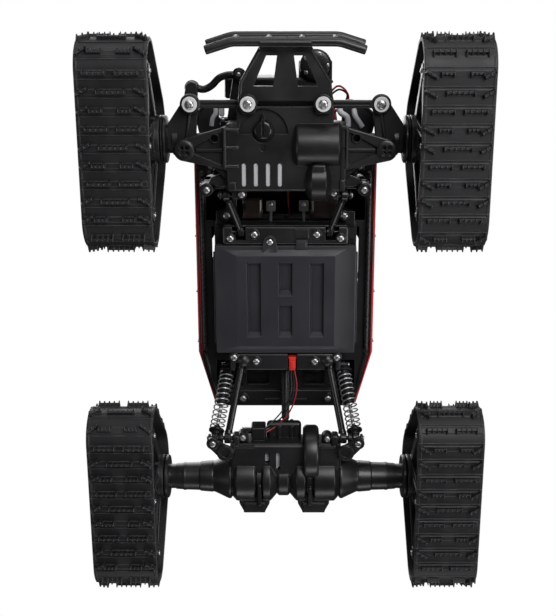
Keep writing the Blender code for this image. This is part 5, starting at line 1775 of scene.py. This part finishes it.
def side_trim(side):
    return [
        # blocks along the sill
        *side_blocks(side, *[
            (61.8, 64.2, -96 + 16 * k - 1.6, -96 + 16 * k + 1.6, 93.9, 99.0, 0.5)
            for k in range(9)
        ]),
        # door handles and the upright seams
        *side_blocks(
            side, (66.2, 67.5, -20, -11, 122, 124, 0.5), (66.2, 67.5, 8, 17, 122, 124, 0.5)),
        *side_blocks(side, *[
            (64.9, 66.8, y - 0.4, y + 0.4, 99, 128, 0.15) for y in (-48.5, -6.2, 33.0)
        ]),
        # roof bar, bonnet edge, mirror and its stalk, and side moulding
        pipe(flip(side, [(40.5, -30, 184.6), (40.8, -4, 185.6), (40.5, 20, 184.6)]), 1.5, 12),
        pipe(flip(side, [(27.5, -150, 128.4), (31, -110, 134.2), (34.5, -66, 140.4)]), 0.8, 10),
        pipe(flip(side, [(62.4, -44, 138.0), (68.0, -47, 141.5)]), 1.2, 10, smooth=False),
        side_block(side, 65.5, 70.0, -50.5, -45.0, 139.5, 148, 1.4, 3),
        pipe(flip(side, [
            (65.6, -100, 112), (66.0, -60, 112.5), (66.0, -4, 112.5), (65.8, 36, 112),
        ]), 0.9, 10),
    ]


grille = blocks(
    (-27, 27, -159.6, -157.4, 113.5, 123.5, 0.8),
    *[(-24 + 6 * k - 0.9, -24 + 6 * k + 0.9, -160.2, -158.8, 114.2, 122.8, 0.4) for k in range(9)],
)
bonnet_bars = blocks(*[
    (-12, 12, -98 + 5.5 * k, -95.5 + 5.5 * k, 135.5 + 0.68 * k, 138.0 + 0.68 * k, 0.7)
    for k in range(4)
])
end_bars = blocks((-38, 38, 79.2, 81.6, 97, 104, 1.0), (-35, 35, -36.5, -33.0, 182.2, 185.2, 0.9))
finish("body_trim", joined(
    side_trim(-1) + side_trim(1) + grille + bonnet_bars + end_bars), BLACK, "chassis")

lamps = []
for side in (-1, 1):
    lamps.append(turned([(0, 0), (0, 3.2), (-0.9, 2.6), (-1.4, 1.2), (-1.5, 0)],
                        (side * LAMP_X, -158.6, LAMP_Z), Y_AXIS, 32))
    lamps.append(side_block(side, 42, 49, 79.6, 81.2, 108, 117, 0.7))
finish("body_lamps", joined(lamps), LAMP, "chassis")
finish("lamp_bezels", joined([
    turned([(-1.2, 3.3), (-1.2, 4.2), (0.5, 4.4), (1.0, 3.3)],
           (side * LAMP_X, -158.4, LAMP_Z), Y_AXIS, 36)
    for side in (-1, 1)
]), BLACK, "chassis")

# ------------------------------------------------------------------ small parts seen from below
TAB_X = (-10.5, 13.0)
finish("mounting_tabs", joined(
    [block(x - 3.4, x + 3.4, -77.5, -69.5, 84.0, 86.0, 0.7) for x in TAB_X]
    + [block(x - 1.0, x + 1.0, -76, -62, 85.4, 92, 0.4) for x in TAB_X]
), GREY, "chassis")
for x in TAB_X:
    screw("chassis", x, -74.6, 84.1, SMALL)
finish("smoked_light_guides", joined(blocks(
    (-31, -16, -79, -63.5, 86.0, 87.4, 0.6, 2, (2.5, 2.0, 1.0, "low")),
    (17.5, 40, -81, -63.5, 86.0, 87.4, 0.6, 2, (3.0, 2.0, 1.0, "low")),
    (-42.5, -35, -98, -70, 87.0, 88.2, 0.5),
    (35, 42.5, -98, -84, 87.0, 88.2, 0.5),
)), SMOKE, "chassis")
finish_wire("body_wire_red", pipe([
    (4, -99, 91.5), (2.5, -88, 90.0), (1.6, -80, 91.4), (2.5, -70, 93.5), (3.0, -64, 95),
], 0.6, sides=10, steps=8), RED_WIRE, "chassis")

# carrier above the bumper: two blocks, a round pod with its cap and two slanted legs
POD_X, POD_Y = 20.5, -171.5
CARRIER_LEG = [(-136, 65), (-128, 65), (-146, 84), (-154, 84)]  # y, z
finish("steering_carrier", joined([
    block(-43, 31, -165, -148.6, 79.0, 92.0, 1.6, 3, top=(1.5, 2.0, 0.6, "low")),
    block(9.0, 32.0, -175, -158, 80.0, 93, 1.6, 3),
    turned([(0, 0), (0, 7.4), (0.8, 9.6), (2.4, 10.8), (7.0, 11.0), (7.6, 10.2), (7.6, 0)],
           (POD_X, POD_Y, 73.0), Z_AXIS, 56),
    turned([(0, 0), (0, 3.0), (0.5, 3.5), (2, 3.5), (2, 0)], (POD_X, POD_Y, 71.4), Z_AXIS, 36),
    prism(CARRIER_LEG, 18, 24, 0.8, axis="X"),
    prism(CARRIER_LEG, 6, 11, 0.8, axis="X"),
]), BLACK, "front_axle")
for k in range(5):
    angle = k * 1.2566
    screw("front_axle", POD_X + 7.9 * math.cos(angle), POD_Y + 7.9 * math.sin(angle), 74.0, SMALL)

finish("upper_arm_webs", joined([
    prism(round_poly([
        (-45.6, -147.5), (-50, -148.5), (-58.5, -143), (-61.5, -136), (-59.5, -126), (-45.6, -121),
    ], 2.0), 72.4, 75.6, 0.7),
    prism(round_poly([
        (38.5, -148), (46, -149), (58.5, -142), (61.5, -135), (59.5, -126), (38.5, -121),
    ], 2.0), 69.6, 73.8, 0.7),
    pipe([(-45.8, -146.8, 72.3), (-50, -147.8, 72.3), (-58, -142.4, 72.3), (-60.8, -136, 72.3)],
         1.0, sides=12),
    pipe([(39.4, -147.4, 69.3), (46, -148.2, 69.3), (58, -141.4, 69.3), (60.8, -135, 69.3)],
         1.0, sides=12),
]), BLACK, "front_axle")
finish("steering_stays", joined([
    pipe([(-50.8, -131, 72.8), (-50.0, -136, 72.8), (-48.0, -139.5, 72.8), (-47.6, -143, 72.8)], 1.7),
    block(-45.4, -42.0, -145.5, -137.4, 72.2, 78, 1.2, 3),
    pipe([(36.5, -145.2, 70.0), (37.6, -140.6, 68.0), (41.8, -137.4, 67.0), (42.6, -131, 66.8)], 2.1),
    pipe([(46.6, -142.8, 70.6), (47.6, -138.2, 68.6), (50.4, -133.8, 67.6), (52.6, -130.6, 67.4)],
         1.9),
]), PALE, "front_axle")
finish_wire("front_wire_red", pipe([
    (31, -153, 84), (36, -157.5, 81), (41, -155, 80), (43.5, -149, 82), (39, -143, 84),
    (33, -140, 84),
], 0.7, sides=10, steps=8), RED_WIRE, "front_axle")
finish_wire("front_wire_black", pipe([
    (31, -151, 85), (37, -155, 83), (42.5, -152, 82), (41, -146, 84), (34, -139, 85),
], 0.7, sides=10, steps=8), BLACK_WIRE, "front_axle")

# ------------------------------------------------------------------ fasteners, one piece per body
for label, copies, material in (("screws", screws, STEEL), ("washers", washers, ZINC)):
    for body, items in sorted(copies.items()):
        finish(f"{label}_{body}", joined(items), material, body, angle=40.0)
drop(SCREW, SMALL, WASHER, BIG)

# ------------------------------------------------------------------ CAD pieces take slot materials
slot_names = {part["node"]: part["material_slot"] for part in frame["record"]["subparts"]}
for node, obj in frame["nodes"].items():
    obj.data.materials.clear()
    obj.data.materials.append(SLOTS[slot_names[node]][0])


# ------------------------------------------------------------------ studio floor
def floor_material():
    """Pale, but clear to the camera from below."""
    material = bpy.data.materials.new("pale_floor")
    material.use_nodes = True
    nodes = Nodes(material.node_tree)
    bsdf = nodes.tree.nodes["Principled BSDF"]
    nodes.fill(bsdf, {"Base Color": (0.80, 0.80, 0.80, 1), "Roughness": 0.7})
    clear = nodes.add("BsdfTransparent").outputs["BSDF"]
    backfacing = nodes.add("NewGeometry").outputs["Backfacing"]
    camera_ray = nodes.add("LightPath").outputs["Is Camera Ray"]
    front = nodes.math("SUBTRACT", 1.0, backfacing)
    seen = nodes.math("MULTIPLY", camera_ray, front)
    mixer = nodes.add("MixShader", {"Fac": seen, 1: clear, 2: bsdf.outputs["BSDF"]})
    nodes.fill(nodes.tree.nodes["Material Output"], {"Surface": mixer.outputs["Shader"]})
    return material


grid = bmesh.new()
bmesh.ops.create_grid(grid, x_segments=8, y_segments=8, size=3000)
floor = shape(grid)
floor.data.transform(Matrix.Scale(MM, 4))
floor.name = "studio_floor"
shop.objects.unlink(floor)
looks.objects.link(floor)
floor.location.z = -0.0006
floor.data.materials.append(floor_material())

# ------------------------------------------------------------------ light, in metres and watts
world = bpy.data.worlds.new("studio")
bpy.context.scene.world = world
world.use_nodes = True
nodes = Nodes(world.node_tree)
# white to the camera, faint as a light
strength = nodes.add("MapRange", {
    "To Min": 0.05, "To Max": 1.0, "Value": nodes.add("LightPath").outputs["Is Camera Ray"],
})
nodes.fill(nodes.tree.nodes["Background"], {
    "Color": (1.0, 1.0, 1.0, 1), "Strength": strength.outputs["Result"],
})

AREA_LIGHTS = (
    # name, place, aim, size, power
    ("key_below", (0.42, -0.80, -1.0), (0, -0.02, 0.05), (0.7, 0.6), 13.0),
    ("front_edge", (0.0, -1.15, 0.0), (0, -0.1, 0.06), (1.3, 0.35), 5.0),
    ("fill_right", (0.95, 0.15, -0.45), (0, 0, 0.05), (0.4, 1.2), 6.5),
    ("fill_left", (-0.95, 0.15, -0.35), (0, 0, 0.05), (0.4, 1.2), 1.8),
    ("low_rear", (0.1, 1.1, -0.45), (0, 0.1, 0.05), (0.9, 0.3), 3.0),
    ("top_soft", (-0.3, -0.4, 1.3), (0, 0, 0.08), (1.2, 1.2), 16.0),
)
for name, place, aim, size, power in AREA_LIGHTS:
    light = bpy.data.lights.new(name, "AREA")
    light.shape = "RECTANGLE"
    light.size, light.size_y = size
    light.energy = power
    obj = bpy.data.objects.new(name, light)
    looks.objects.link(obj)
    obj.location = place
    obj.rotation_euler = (Vector(aim) - Vector(place)).to_track_quat("-Z", "Y").to_euler()

# ------------------------------------------------------------------ camera, below and looking up
CAMERA_TILT = math.radians(16.0)  # from straight up towards the rear
CAMERA_PLACE = (0, -0.195, -0.604)
lens = bpy.data.cameras.new("camera")
lens.sensor_width = 36.0
lens.lens = 56.8051948
lens.shift_x = -0.0121753247
lens.clip_start, lens.clip_end = 0.01, 50.0
camera = bpy.data.objects.new("camera", lens)
looks.objects.link(camera)
right = Vector((1, 0, 0))
up = Vector((0, -math.cos(CAMERA_TILT), math.sin(CAMERA_TILT)))
forward = Vector((0, math.sin(CAMERA_TILT), math.cos(CAMERA_TILT)))
turn = Matrix((right, up, -forward)).transposed().to_4x4()
camera.matrix_world = Matrix.Translation(CAMERA_PLACE) @ turn
scene = bpy.context.scene
scene.camera = camera
scene.view_settings.view_transform = "Standard"
scene.view_settings.look = "None"

bpy.context.view_layer.update()
